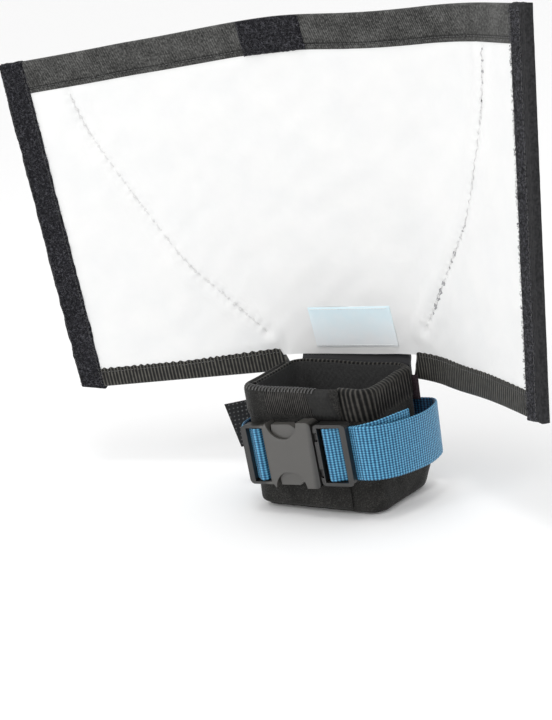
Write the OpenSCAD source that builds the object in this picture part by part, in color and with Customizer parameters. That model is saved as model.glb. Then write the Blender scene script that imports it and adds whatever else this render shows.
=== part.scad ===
// Wrap-on flash snoot and bounce panel: a bendable fabric panel on a padded
// wrap that a webbing belt and side-release buckle clamp round a flash head.
// Origin: centre of the head opening at the wrap's lower rim. +Z is up along
// the head, -Y is the buckle side and +X is the side the belt loops out on.
// The panel is laid out flat as (u, v): u runs across from its centre line and
// v runs up from its lower edge. panel_point() bends that flat cut into shape.

/* [Panel] */
// Flat width of the panel
panel_w = 390; // [370:5:410]
// Flat height at the centre line
panel_h = 224; // [215:0.2:232]
// Flat height at the upper left corner
left_corner_h = 219.2; // [210:0.2:226]
// Flat height at the upper right corner
right_corner_h = 218.6; // [210:0.2:226]
// How far the top's crown spreads to the left
left_crown_w = 80; // [40:1:120]
// How far the top's crown spreads to the right
right_crown_w = 52; // [40:1:120]
// Forward lean of the panel, degrees
lean = 8.25; // [0:0.25:12]
// Turn of the panel in its own plane, degrees
turn = 2.25; // [0:0.25:4]
// Forward bend of the left wing, degrees
left_bend = 13.45; // [5:0.05:20]
// Forward bend of the right wing, degrees
right_bend = 38.45; // [20:0.05:42]
// Radius of the wing bends
bend_r = 70; // [60:1:80]
// Angle that the bend lines fan out from the centre line, degrees
fan = 19.73; // [17:0.01:21]
// Half width of the flat middle at the panel's lower edge
flat_half_w = 25; // [20:1:28]
// Sideways place of the panel's middle
panel_x = -2.5; // [-4:0.5:2]
// Place of the panel's lower edge behind the wrap
panel_y = 32.3; // [31:0.1:34]
// Height of the panel's lower edge
panel_z = 63.4; // [60:0.1:68]
// Width of the hook-and-loop strips down both sides
strip_w = 18; // [16:1:24]
// Width of the twill binding along the top
top_binding_w = 20; // [16:1:24]
// Width of the ribbed binding along the bottom
bottom_binding_w = 15; // [10:1:16]
// Thickness of the front and back fabric
fabric_t = 0.6; // [0.4:0.1:0.8]
// Thickness of the stiffening sheet between them
liner_t = 1.2; // [0.8:0.1:1.6]
// Diameter of the bendable rods
rod_d = 3; // [2:0.5:3.5]

/* [Wrap] */
// Width of the flash head opening
head_w = 76; // [72:1:80]
// Depth of the flash head opening
head_d = 48; // [44:1:50]
// Height of the wrap
wrap_h = 75; // [70:1:76]
// Thickness of the rubbery grip lining
lining_t = 0.8; // [0.6:0.1:1]
// Thickness of the foam
foam_t = 2.2; // [2:0.1:2.4]
// Thickness of the outer cover
cover_t = 0.8; // [0.6:0.1:1]
// Corner radius of the opening
corner_r = 6; // [4:1:8]
// Height of the bands along the upper edge
band_h = 19; // [15:1:22]

/* [Belt and buckle] */
// Width of the belt webbing
webbing_w = 32; // [30:1:33]
// Thickness of the belt webbing
webbing_t = 1.6; // [1.2:0.1:1.8]
// Height of the buckle's centre
belt_z = 38.5; // [36:0.5:40]
// Upward slope of the buckle towards the right, degrees
buckle_slope = 3.5; // [0:0.5:4]
// Outer height of the buckle's socket
socket_h = 40; // [39:0.5:42]
// Outer thickness of the buckle
buckle_t = 9; // [8.5:0.1:9.5]
// Wall thickness of the socket
socket_wall = 1.5; // [1.3:0.1:1.7]

/* [Hidden] */
$fn = 48;

// Colours
WHITE = [0.93, 0.94, 0.95];
BLACK = [0.06, 0.06, 0.065];
CHARCOAL = [0.14, 0.14, 0.15];
BLUE = [0.16, 0.42, 0.60];
NAVY = [0.08, 0.16, 0.26];
PALE_BLUE = [0.85, 0.88, 0.93];
STEEL = [0.55, 0.56, 0.58];
FOAM = [0.35, 0.36, 0.38];

// The panel's own directions: across, up its face, and out of its front
TILT_UP = [0, -sin(lean), cos(lean)];
FACING = [0, -cos(lean), -sin(lean)];
ACROSS = cos(turn) * [1, 0, 0] + sin(turn) * TILT_UP;
UP = -sin(turn) * [1, 0, 0] + cos(turn) * TILT_UP;
PANEL_FOOT = [panel_x, panel_y, panel_z];

// Layers of the panel, measured out of its front face
LINER_FRONT = -fabric_t;
BACK_FRONT = LINER_FRONT - liner_t;
PANEL_BACK = BACK_FRONT - fabric_t;
EDGE_PROUD = 0.4;
STRIP_PROUD = 0.8;
SLEEVE_R = rod_d / 2 + 0.7;
ROD_DEPTH = PANEL_BACK - SLEEVE_R;

// Lines where the panel's sections meet, as distances from the centre line
HALF_W = panel_w / 2;
SIDE_SEAM = 48;
WING_SEAM = 136;
SEAM_GAP = 3;
CREASE_GAP = 2.4;
// Flat distance of the crease beyond the line where the bend starts
CREASE_IN = right_bend / 2 * PI / 180 * bend_r;
STRIP_IN = HALF_W - strip_w;
// Lowest part of each section
CENTRE_LOW = 15;
INNER_LOW = 16;
BINDING_LOW = 4.5;
STRIP_LOW = 3;
BINDING_TOP = BINDING_LOW + bottom_binding_w;
LABEL_LEFT = -22;
LABEL_RIGHT = 36;
LABEL_LOW = 20;
LABEL_H = 26;
LABEL_T = 0.5;
LABEL_PROUD = 0.7;

// Layers of the wrap, from the opening outwards
LINING_X = head_w / 2 + 0.2;
LINING_Y = head_d / 2 + 0.2;
FOAM_X = LINING_X + lining_t;
FOAM_Y = LINING_Y + lining_t;
COVER_X = FOAM_X + foam_t;
COVER_Y = FOAM_Y + foam_t;
WRAP_X = COVER_X + cover_t;
WRAP_Y = COVER_Y + cover_t;
FASTENER_T = 1;
FLAP_T = 3.2;
FLAP_BACK = WRAP_Y + FASTENER_T;
FLAP_FRONT = FLAP_BACK + FLAP_T;
FLAP_END = 25;
BAND_PROUD = 0.6;

// Buckle, before its slope is applied: x along the belt, z across it
BUCKLE_BACK = FLAP_FRONT + 1.4;
BUCKLE_FRONT = BUCKLE_BACK + buckle_t;
BUCKLE_MID = (BUCKLE_BACK + BUCKLE_FRONT) / 2;
EDGE_WALL = 1.3;
SOCKET_END = -38.5;
SHOULDER = -21;
MOUTH = 12;
CAVITY_END = -19;
CAVITY_H = socket_h - 2 * EDGE_WALL;
CAVITY_T = buckle_t - 2 * socket_wall;
BAR_H = webbing_w + 1.2;
ARM_T = CAVITY_T - 1;
ARM_ROOT = [12.3, 11];
ARM_ROOT_R = 2.3;
ARM_NOTCH = ARM_ROOT_R + 0.3;
SHANK_HALF = 1.8;
PAD_REACH = CAVITY_H / 2 - 0.2;
PLUG_END = 34.8;
PLUG_H = 37;

// Rear tunnel that the belt runs through
TUNNEL_HALF = 30;
TUNNEL_WALL = 1;
TUNNEL_ROOM_Y = 3.2;
TUNNEL_ROOM_Z = 3.6;
TAB_T = 2;
TUNNEL_BACK = WRAP_Y + 0.2;
BELT_REAR_Y = TUNNEL_BACK + TUNNEL_WALL + TUNNEL_ROOM_Y / 2;
REAR_Z = 37;

// ---------------------------------------------------------------- panel

function crown(u, corner, spread) = corner + (panel_h - corner) * exp(-pow(u / spread, 2));

function top_edge(u) =
    u < 0 ? crown(u, left_corner_h, left_crown_w) : crown(u, right_corner_h, right_crown_w);

function crease(v) = flat_half_w + (CREASE_IN + v * sin(fan)) / cos(fan);

// A point of the bent panel: (u, v) on the flat cut and h out of its front
function panel_point(u, v, h) =
    let(
        side = u < 0 ? -1 : 1,
        bend = u < 0 ? left_bend : right_bend,
        beyond = (abs(u) - flat_half_w) * cos(fan) - v * sin(fan),
        along = (abs(u) - flat_half_w) * sin(fan) + v * cos(fan),
        arc = bend * PI / 180 * bend_r,
        a = max(0, min(beyond, arc)) / bend_r * 180 / PI,
        rest = max(beyond - arc, 0),
        reach = beyond <= 0 ? beyond : bend_r * sin(a) + rest * cos(a),
        rise = beyond <= 0 ? 0 : bend_r * (1 - cos(a)) + rest * sin(a),
        out = side * cos(fan) * ACROSS - sin(fan) * UP,
        x = flat_half_w + along * sin(fan) + reach * cos(fan),
        y = along * cos(fan) - reach * sin(fan)
    )
    PANEL_FOOT + side * x * ACROSS + y * UP + rise * FACING + h * (cos(a) * FACING - sin(a) * out);

function mix(a, b, k) = a + (b - a) * k;

// Faces of a slab whose points are a front grid and then a back grid
function slab_faces(nu, nv) =
    let(row = nu + 1, back = row * (nv + 1))
    concat(
        [for (j = [0:nv - 1], i = [0:nu - 1], k = [0:1])
            let(a = j * row + i, b = a + 1, c = a + row, d = c + 1)
            k == 0 ? [a, c, b] : [b, c, d]],
        [for (j = [0:nv - 1], i = [0:nu - 1], k = [0:1])
            let(a = back + j * row + i, b = a + 1, c = a + row, d = c + 1)
            k == 0 ? [a, b, c] : [b, d, c]],
        [for (i = [0:nu - 1], k = [0:1])
            k == 0 ? [i, i + 1, back + i] : [i + 1, back + i + 1, back + i]],
        [for (i = [0:nu - 1], k = [0:1])
            let(a = nv * row + i)
            k == 0 ? [a, back + a, a + 1] : [a + 1, back + a, back + a + 1]],
        [for (j = [0:nv - 1], k = [0:1])
            let(a = j * row)
            k == 0 ? [a, back + a, a + row] : [a + row, back + a, back + a + row]],
        [for (j = [0:nv - 1], k = [0:1])
            let(a = j * row + nu)
            k == 0 ? [a, a + row, back + a] : [a + row, back + a + row, back + a]]
    );

// One layer of the panel between two side lines, which are functions of v, and
// between two heights, which are functions of u, from h_front back to h_back
module layer(side, inner, outer, low, high, h_front, h_back, nu = 5, nv = 7) {
    function u_at(v, a) = side * mix(inner(v), outer(v), side > 0 ? a : 1 - a);
    function spot(a, b, h) =
        let(
            v_near = mix(low(0), high(0), b),
            u_near = u_at(v_near, a),
            v = mix(low(u_near), high(u_near), b)
        )
        panel_point(u_at(v, a), v, h);
    function grid(h) = [for (j = [0:nv], i = [0:nu]) spot(i / nu, j / nv, h)];
    polyhedron(concat(grid(h_front), grid(h_back)), slab_faces(nu, nv));
}

at = function(d) function(x) d;
below_top = function(d) function(u) top_edge(u) - d;
crease_less = function(v) crease(v) - CREASE_GAP / 2;
crease_more = function(v) crease(v) + CREASE_GAP / 2;

PANEL_HIGH = below_top(top_binding_w);

module front_layer(side, inner, outer, low, nu = 5) {
    color(WHITE) layer(side, inner, outer, at(low), PANEL_HIGH, 0, LINER_FRONT, nu);
}

module liner_layer(side, inner, outer, low, nu = 5) {
    color(FOAM) layer(side, inner, outer, at(low), PANEL_HIGH, LINER_FRONT, BACK_FRONT, nu);
}

module back_layer(side, inner, outer, low, nu = 5) {
    color(BLACK) layer(side, inner, outer, at(low), PANEL_HIGH, BACK_FRONT, PANEL_BACK, nu);
}

module top_binding(side, inner, outer, nu = 5) {
    color(CHARCOAL)
        layer(side, inner, outer, PANEL_HIGH, below_top(0), EDGE_PROUD, PANEL_BACK - EDGE_PROUD, nu, 2);
}

module bottom_binding(side, inner, outer) {
    color(BLACK)
        layer(side, inner, outer, at(BINDING_LOW), at(BINDING_TOP),
            EDGE_PROUD, PANEL_BACK - EDGE_PROUD, 6, 1);
}

// The straight line behind the panel from one point of its flat cut to another
function run_behind(a, b) =
    panel_point(b[0], b[1], ROD_DEPTH) - panel_point(a[0], a[1], ROD_DEPTH);

module along_panel(a, b) {
    d = run_behind(a, b);
    translate(panel_point(a[0], a[1], ROD_DEPTH))
        rotate([0, acos(d[2] / norm(d)), atan2(d[1], d[0])]) children();
}

ROD_CAP_L = 6;
ROD_CAP_T = 0.2;
SLEEVE_END = 1;
ROD_ROOM = 0.1;

// A wire with a thicker cap on each end
module bend_rod(a, b) {
    length = norm(run_behind(a, b));
    color(STEEL) along_panel(a, b) {
        cylinder(h = length, d = rod_d - 2 * ROD_CAP_T);
        for (z = [0, length - ROD_CAP_L])
            translate([0, 0, z]) cylinder(h = ROD_CAP_L, d = rod_d);
    }
}

module rod_sleeve(a, b) {
    length = norm(run_behind(a, b));
    color(BLACK) along_panel(a, b) difference() {
        cylinder(h = length, r = SLEEVE_R);
        translate([0, 0, SLEEVE_END])
            cylinder(h = length - 2 * SLEEVE_END, r = rod_d / 2 + ROD_ROOM);
    }
}

// Middle section: flat, between the two side seams
MIDDLE_HALF = SIDE_SEAM - SEAM_GAP / 2;

module middle(low, high, h_front, h_back, half = MIDDLE_HALF, nu = 12, nv = 6) {
    layer(1, at(-half), at(half), low, high, h_front, h_back, nu, nv);
}

ROD_FOOT = 24;
ROD_HEAD = 196;
PATCH_HALF = 21.5;
PATCH_T = 1.2;
LOOP_PATCH_LOW = panel_h - top_binding_w;

module centre_front() {
    color(WHITE) middle(at(CENTRE_LOW), PANEL_HIGH, 0, LINER_FRONT);
}

module centre_liner() {
    color(FOAM) middle(at(CENTRE_LOW), PANEL_HIGH, LINER_FRONT, BACK_FRONT);
}

module centre_back() {
    color(BLACK) middle(at(CENTRE_LOW), PANEL_HIGH, BACK_FRONT, PANEL_BACK);
}

module centre_rod() {
    bend_rod([0, ROD_FOOT + 2], [0, ROD_HEAD - 2]);
}

module centre_rod_sleeve() {
    rod_sleeve([0, ROD_FOOT], [0, ROD_HEAD]);
}

module centre_top_binding() {
    color(CHARCOAL)
        middle(PANEL_HIGH, below_top(0), EDGE_PROUD, PANEL_BACK - EDGE_PROUD, nv = 1);
}

module top_loop_patch() {
    color(BLACK)
        middle(at(LOOP_PATCH_LOW), below_top(-0.2), EDGE_PROUD + PATCH_T, EDGE_PROUD, PATCH_HALF, 2, 1);
}

module label() {
    color(PALE_BLUE)
        layer(1, at(LABEL_LEFT), at(LABEL_RIGHT), at(LABEL_LOW), at(LABEL_LOW + LABEL_H),
            LABEL_PROUD, LABEL_PROUD - LABEL_T, 6, 3);
}

// Inner sections: between the side seam and the slanting crease
INNER_EDGE = at(SIDE_SEAM + SEAM_GAP / 2);
ROD_SETBACK = 8;
rod_line = function(v) crease(v) - ROD_SETBACK;

module inner_rod(side, foot, head) {
    bend_rod([side * rod_line(foot), foot], [side * rod_line(head), head]);
}

module inner_rod_sleeve(side, foot, head) {
    rod_sleeve([side * rod_line(foot), foot], [side * rod_line(head), head]);
}

SIDE_ROD_FOOT = 34;
SIDE_ROD_HEAD = 194;

module left_inner_front() {
    front_layer(-1, INNER_EDGE, crease_less, INNER_LOW);
}

module left_inner_liner() {
    liner_layer(-1, INNER_EDGE, crease_less, INNER_LOW);
}

module left_inner_back() {
    back_layer(-1, INNER_EDGE, crease_less, INNER_LOW);
}

module left_inner_top_binding() {
    top_binding(-1, INNER_EDGE, crease_less);
}

module left_rod() {
    inner_rod(-1, SIDE_ROD_FOOT + 2, SIDE_ROD_HEAD - 2);
}

module left_rod_sleeve() {
    inner_rod_sleeve(-1, SIDE_ROD_FOOT, SIDE_ROD_HEAD);
}

module right_inner_front() {
    front_layer(1, INNER_EDGE, crease_less, INNER_LOW);
}

module right_inner_liner() {
    liner_layer(1, INNER_EDGE, crease_less, INNER_LOW);
}

module right_inner_back() {
    back_layer(1, INNER_EDGE, crease_less, INNER_LOW);
}

module right_inner_top_binding() {
    top_binding(1, INNER_EDGE, crease_less);
}

module right_rod() {
    inner_rod(1, SIDE_ROD_FOOT + 2, SIDE_ROD_HEAD - 2);
}

module right_rod_sleeve() {
    inner_rod_sleeve(1, SIDE_ROD_FOOT, SIDE_ROD_HEAD);
}

// Outer sections: between the crease and the wing seam
OUTER_EDGE = at(WING_SEAM - SEAM_GAP / 2);

module left_outer_front() {
    front_layer(-1, crease_more, OUTER_EDGE, BINDING_TOP, 6);
}

module left_outer_liner() {
    liner_layer(-1, crease_more, OUTER_EDGE, BINDING_TOP, 6);
}

module left_outer_back() {
    back_layer(-1, crease_more, OUTER_EDGE, BINDING_TOP, 6);
}

module left_outer_top_binding() {
    top_binding(-1, crease_more, OUTER_EDGE, 2);
}

module left_outer_bottom_binding() {
    bottom_binding(-1, crease_more, OUTER_EDGE);
}

module right_outer_front() {
    front_layer(1, crease_more, OUTER_EDGE, BINDING_TOP, 6);
}

module right_outer_liner() {
    liner_layer(1, crease_more, OUTER_EDGE, BINDING_TOP, 6);
}

module right_outer_back() {
    back_layer(1, crease_more, OUTER_EDGE, BINDING_TOP, 6);
}

module right_outer_top_binding() {
    top_binding(1, crease_more, OUTER_EDGE, 2);
}

module right_outer_bottom_binding() {
    bottom_binding(1, crease_more, OUTER_EDGE);
}

// Wings: from the wing seam out to the hook-and-loop strips
WING_EDGE = at(WING_SEAM + SEAM_GAP / 2);
STRIP_EDGE = at(STRIP_IN);

module left_wing_front() {
    front_layer(-1, WING_EDGE, STRIP_EDGE, BINDING_TOP, 3);
}

module left_wing_liner() {
    liner_layer(-1, WING_EDGE, STRIP_EDGE, BINDING_TOP, 3);
}

module left_wing_back() {
    back_layer(-1, WING_EDGE, STRIP_EDGE, BINDING_TOP, 3);
}

module left_wing_top_binding() {
    top_binding(-1, WING_EDGE, STRIP_EDGE, 3);
}

module left_wing_bottom_binding() {
    bottom_binding(-1, WING_EDGE, STRIP_EDGE);
}

module side_strip(side) {
    color(BLACK)
        layer(side, STRIP_EDGE, at(HALF_W), at(STRIP_LOW), below_top(0),
            STRIP_PROUD, PANEL_BACK - STRIP_PROUD, 2, 8);
}

module left_strip() {
    side_strip(-1);
}

module right_wing_front() {
    front_layer(1, WING_EDGE, STRIP_EDGE, BINDING_TOP, 3);
}

module right_wing_liner() {
    liner_layer(1, WING_EDGE, STRIP_EDGE, BINDING_TOP, 3);
}

module right_wing_back() {
    back_layer(1, WING_EDGE, STRIP_EDGE, BINDING_TOP, 3);
}

module right_wing_top_binding() {
    top_binding(1, WING_EDGE, STRIP_EDGE, 3);
}

module right_wing_bottom_binding() {
    bottom_binding(1, WING_EDGE, STRIP_EDGE);
}

module right_strip() {
    side_strip(1);
}

// ----------------------------------------------------------------- wrap

module rounded(x, y, r) {
    square([2 * x - 2 * r, 2 * y], center = true);
    square([2 * x, 2 * y - 2 * r], center = true);
    for (sx = [-1, 1], sy = [-1, 1])
        translate([sx * (x - r), sy * (y - r)]) circle(r);
}

module sleeve(x, y, t, r, z, h) {
    translate([0, 0, z]) linear_extrude(h) difference() {
        rounded(x + t, y + t, r + t);
        rounded(x, y, r);
    }
}

LOWER_BINDING_H = 5;
BODY_LOW = LOWER_BINDING_H;
BODY_H = wrap_h - LOWER_BINDING_H;

module grip_lining() {
    color(CHARCOAL) sleeve(LINING_X, LINING_Y, lining_t, corner_r, BODY_LOW, BODY_H - 1);
}

module foam_core() {
    color(FOAM) sleeve(FOAM_X, FOAM_Y, foam_t, corner_r + lining_t, BODY_LOW, BODY_H - 2);
}

module wrap_cover() {
    color(BLACK)
        sleeve(COVER_X, COVER_Y, cover_t, corner_r + lining_t + foam_t, BODY_LOW, BODY_H - band_h);
}

module lower_binding() {
    color(BLACK) sleeve(LINING_X, LINING_Y, lining_t + foam_t + cover_t, corner_r, 0, LOWER_BINDING_H);
}

// How far the cutting blocks reach past what they cut
CUT = 5;

// Ribbed band round the top of the right side and back
module wrap_band() {
    inner_r = corner_r + lining_t + foam_t;
    color(CHARCOAL) difference() {
        sleeve(COVER_X, COVER_Y, cover_t + BAND_PROUD, inner_r, wrap_h - band_h, band_h);
        translate([-WRAP_X - CUT, -WRAP_Y - CUT, 0])
            cube([WRAP_X + CUT + FLAP_END + 1, WRAP_Y, 2 * wrap_h]);
    }
}

FLAP_LOW = 3;
FLAP_CORNER = 4;
FLAP_START = WRAP_X - 5;
ROLL_PROUD = 0.4;
ROLL_SHORT = 1;
ROLL_LAP = 1.2;

module flap_slab(y_in, y_out, x_end, z, h) {
    end_r = (y_out - y_in) / 2;
    translate([0, 0, z]) linear_extrude(h) difference() {
        union() {
            translate([-FLAP_START, -y_out]) square([x_end + FLAP_START - end_r, y_out - y_in]);
            translate([-FLAP_START, -y_out + FLAP_CORNER]) circle(FLAP_CORNER);
            translate([x_end - end_r, -(y_in + y_out) / 2]) circle(end_r);
        }
        translate([-WRAP_X - CUT, -y_in]) square([2 * WRAP_X, 2 * FLAP_CORNER]);
    }
}

module front_flap() {
    color(BLACK)
        flap_slab(FLAP_BACK, FLAP_FRONT, FLAP_END, FLAP_LOW, wrap_h - band_h + 1 - FLAP_LOW);
}

module flap_band() {
    color(CHARCOAL)
        flap_slab(
            FLAP_BACK, FLAP_FRONT + ROLL_PROUD, FLAP_END - ROLL_SHORT,
            wrap_h - band_h + ROLL_LAP, band_h
        );
}

FASTENER_LEFT = 24;
FASTENER_LOW = 12;
FASTENER_SIZE = [44, FASTENER_T, 40];

module flap_fastener() {
    color(BLACK) translate([-FASTENER_LEFT, -FLAP_BACK, FASTENER_LOW]) cube(FASTENER_SIZE);
}

PANEL_TAB_HALF = 38;
PANEL_TAB_H = 16;
PANEL_TAB_GAP = 0.8;
PANEL_TAB_DROP = 1;

module panel_tab() {
    color(BLACK) translate([-PANEL_TAB_HALF, WRAP_Y + PANEL_TAB_GAP, wrap_h - PANEL_TAB_DROP - PANEL_TAB_H])
        cube([2 * PANEL_TAB_HALF, TAB_T, PANEL_TAB_H]);
}

module belt_tunnel() {
    height = webbing_w + TUNNEL_ROOM_Z + 2 * TUNNEL_WALL;
    depth = TUNNEL_BACK - WRAP_Y + TUNNEL_ROOM_Y + 2 * TUNNEL_WALL;
    color(BLACK) difference() {
        translate([-TUNNEL_HALF, WRAP_Y, REAR_Z - height / 2])
            cube([2 * TUNNEL_HALF, depth, height]);
        translate([-TUNNEL_HALF - CUT, TUNNEL_BACK + TUNNEL_WALL, REAR_Z - height / 2 + TUNNEL_WALL])
            cube([2 * TUNNEL_HALF + 2 * CUT, TUNNEL_ROOM_Y, height - 2 * TUNNEL_WALL]);
    }
}

BELT_LEFT_X = 45.4;
TAB_L = 27;
TAB_H = 29;
TAB_Z = 43.3;
TAB_Y = 8;
TAB_DROP = 2.8;
TAB_LEAN = 1.5;
PULL_TAB_T = 1.2;
PULL_TAB_TURN = 30;
PULL_TAB_GAP = 0.15;
PULL_TAB_X = -BELT_LEFT_X - webbing_t / 2 - PULL_TAB_T * sin(PULL_TAB_TURN) - PULL_TAB_GAP;

// Short stiff tab that stands out behind the left side and droops a little
module pull_tab() {
    color(BLACK)
        translate([PULL_TAB_X, TAB_Y, TAB_Z])
            rotate([90, 0, PULL_TAB_TURN]) linear_extrude(PULL_TAB_T) polygon([
                [0, -TAB_H / 2],
                [0, TAB_H / 2],
                [-TAB_L - TAB_LEAN, TAB_H / 2 - TAB_DROP],
                [-TAB_L + TAB_LEAN, -TAB_H / 2 - TAB_DROP]
            ]);
}

// ------------------------------------------------------- belt and buckle

module buckle_place() {
    translate([0, 0, belt_z]) rotate([0, -buckle_slope, 0]) children();
}

// A plate of the buckle: its outline lies in x and z, and it is t thick
module plate(y_mid, t) {
    translate([0, -y_mid + t / 2, 0]) rotate([90, 0, 0]) linear_extrude(t) children();
}

module bar_outline(x0, x1, h, r) {
    translate([x0, -h / 2 + r]) square([x1 - x0, h - 2 * r]);
    translate([x0 + r, -h / 2]) square([x1 - x0 - 2 * r, h]);
    for (x = [x0 + r, x1 - r], y = [-h / 2 + r, h / 2 - r])
        translate([x, y]) circle(r);
}

// Finger scoops in the socket's long edges
SCOOP_R = 11;
SCOOP_X = -8.5;
SCOOP_DEPTH = 10;
// Windows that the webbing passes through, and the bars that it turns round
SOCKET_WINDOW = [-34.7, -23];
SOCKET_BAR_X = -28.8;
PLUG_WINDOW = [15.4, 31];
PLUG_BAR_X = 20.6;
TURN_BAR_R = 1.6;
TURN_BAR_Y = BUCKLE_MID + 0.4;
WINDOW_H = webbing_w + 1;
THIN_BAR_T = 3.6;
TONGUE_TIP = -15;
TONGUE_H = 8;

module window(span) {
    plate(BUCKLE_MID, buckle_t + 2)
        translate([span[0], -WINDOW_H / 2]) square([span[1] - span[0], WINDOW_H]);
}

module turn_bar(x) {
    translate([x, -TURN_BAR_Y, -WINDOW_H / 2 - 0.5]) cylinder(h = WINDOW_H + 1, r = TURN_BAR_R);
}

// Room behind an end bar for two layers of webbing
module end_relief(x0, x1) {
    translate([x0, -BUCKLE_FRONT + 1 + THIN_BAR_T, -WINDOW_H / 2])
        cube([x1 - x0, buckle_t, WINDOW_H]);
}

module socket() {
    color(BLACK) buckle_place() {
        difference() {
            union() {
                plate(BUCKLE_MID, buckle_t) bar_outline(SHOULDER, MOUTH, socket_h, 3);
                plate(BUCKLE_MID, buckle_t - 2) bar_outline(SOCKET_END, SHOULDER + 4, BAR_H + 3, 3);
            }
            translate([CAVITY_END, -BUCKLE_MID - CAVITY_T / 2, -CAVITY_H / 2])
                cube([MOUTH - CAVITY_END + 1, CAVITY_T, CAVITY_H]);
            window(SOCKET_WINDOW);
            end_relief(SOCKET_END - 1, SOCKET_WINDOW[0] + 1);
            for (s = [-1, 1])
                plate(BUCKLE_MID, buckle_t + 2)
                    translate([SCOOP_X, s * (socket_h / 2 - SCOOP_DEPTH + SCOOP_R)]) circle(SCOOP_R);
        }
        turn_bar(SOCKET_BAR_X);
    }
}

module plug() {
    color(BLACK) buckle_place() {
        difference() {
            union() {
                plate(BUCKLE_MID, buckle_t - 2) bar_outline(MOUTH + 0.6, PLUG_END, PLUG_H, 3);
                plate(BUCKLE_MID, ARM_T) bar_outline(TONGUE_TIP, MOUTH + 3, TONGUE_H, 2.5);
            }
            window(PLUG_WINDOW);
            end_relief(PLUG_WINDOW[1] - 1, PLUG_END + 1);
            for (s = [-1, 1])
                plate(BUCKLE_MID, buckle_t + 2)
                    translate([MOUTH - 1, s * ARM_ROOT[1] - ARM_NOTCH])
                        square([ARM_ROOT[0] - MOUTH + 1 + ARM_NOTCH, 2 * ARM_NOTCH]);
        }
        turn_bar(PLUG_BAR_X);
    }
}

// A release arm: round root, slim shank and a fuller finger pad
module arm() {
    plate(BUCKLE_MID, ARM_T) union() {
        translate(ARM_ROOT) circle(ARM_ROOT_R);
        polygon([
            ARM_ROOT + [0, SHANK_HALF],
            [1, PAD_REACH - 3],
            [-3.5, PAD_REACH],
            [-16.6, PAD_REACH],
            [-17.3, 11],
            [-14, 8],
            ARM_ROOT - [0, SHANK_HALF]
        ]);
    }
}

module upper_arm() {
    color(CHARCOAL) buckle_place() arm();
}

module lower_arm() {
    color(CHARCOAL) buckle_place() mirror([0, 0, 1]) arm();
}

// Points along a smooth curve through the given stations
function smooth(p, steps) =
    let(last = len(p) - 1)
    [for (i = [0:last - 1], k = [0:steps - (i == last - 1 ? 0 : 1)])
        let(
            t = k / steps,
            a = p[max(i - 1, 0)],
            b = p[i],
            c = p[i + 1],
            d = p[min(i + 2, last)]
        )
        0.5 * (2 * b + (c - a) * t + (2 * a - 5 * b + 4 * c - d) * t * t
            + (3 * b - a - 3 * c + d) * t * t * t)];

// Webbing on edge along a route of [x, y, z, slope] stations: z is the height of
// its middle and slope is how far its own upright leans away from +Z
module webbing(route, height = webbing_w, t = webbing_t) {
    n = len(route) - 1;
    function spot(i) = [route[i][0], route[i][1], route[i][2]];
    function upright(i) = [-sin(route[i][3]), 0, cos(route[i][3])];
    function side_of(i) =
        let(d = cross(upright(i), spot(min(i + 1, n)) - spot(max(i - 1, 0))))
        d / norm(d);
    function row(offset) =
        [for (j = [0:1], i = [0:n]) spot(i) + offset * side_of(i) + (j - 0.5) * height * upright(i)];
    polyhedron(concat(row(-t / 2), row(t / 2)), slab_faces(n, 1));
}

// A station of the belt given in the buckle's own x and depth
function on_buckle(x, y) =
    [x * cos(buckle_slope), -y, belt_z + x * sin(buckle_slope), buckle_slope];

// Stations round one of the buckle's bars, from one angle to another
function round_bar(x, from, to) =
    [for (k = [0:4])
        let(a = from + (to - from) * k / 4, r = TURN_BAR_R + webbing_t / 2 + 0.15)
        on_buckle(x + r * cos(a), TURN_BAR_Y + r * sin(a))];

WEB_BEHIND = BUCKLE_FRONT - 1 - THIN_BAR_T - webbing_t / 2 - 0.2;
TAIL_BEHIND = WEB_BEHIND - webbing_t - 0.15;

PLUG_ROUTE = concat(
    round_bar(PLUG_BAR_X, 165, 50),
    smooth([
        on_buckle(26.5, WEB_BEHIND + 1.6), on_buckle(30, WEB_BEHIND + 0.2), on_buckle(35, WEB_BEHIND),
        [42, -39.4, 41.8, 3], [50, -36.4, 41.8, 2], [56, -25, 40.5, 1], [59.5, -8, 39, 0],
        [60, 6, 38, 0], [58, 20, 38, 0], [51, 30, REAR_Z, 0], [42, BELT_REAR_Y - 0.8, REAR_Z, 0],
        [34, BELT_REAR_Y, REAR_Z, 0], [20, BELT_REAR_Y, REAR_Z, 0], [3, BELT_REAR_Y, REAR_Z, 0]
    ], 3)
);

// The folded-back end, from the far side of the plug's bar to its hem
TAIL_ROUTE = concat(
    round_bar(PLUG_BAR_X, 195, 270),
    smooth([
        on_buckle(26, TAIL_BEHIND + 0.4), on_buckle(31, TAIL_BEHIND), on_buckle(36, TAIL_BEHIND),
        [44, -36.2, 42.8, 3], [50, -30, 43.6, 2], [54.2, -19, 44, 1], [56.2, -8, 43.5, 0]
    ], 3)
);

SOCKET_ROUTE = concat(
    smooth([
        [-1, BELT_REAR_Y, REAR_Z, 0], [-20, BELT_REAR_Y, REAR_Z, 0], [-32, BELT_REAR_Y, REAR_Z, 0],
        [-41, 28, 37.5, 0], [-45, 17, 37, 0], [-45.4, 0, 36.6, 0], [-45.4, -17, 36.4, 1],
        [-44.6, -28, 36.2, 2.5], on_buckle(-40.8, WEB_BEHIND - 1.2), on_buckle(-36, WEB_BEHIND),
        on_buckle(-33, WEB_BEHIND + 1)
    ], 3),
    round_bar(SOCKET_BAR_X, 130, 0)
);

module plug_belt() {
    color(BLUE) webbing(PLUG_ROUTE);
}

module belt_tail() {
    color(NAVY) webbing(TAIL_ROUTE, webbing_w - 0.6);
}

module socket_belt() {
    color(BLUE) webbing(SOCKET_ROUTE);
}

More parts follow.
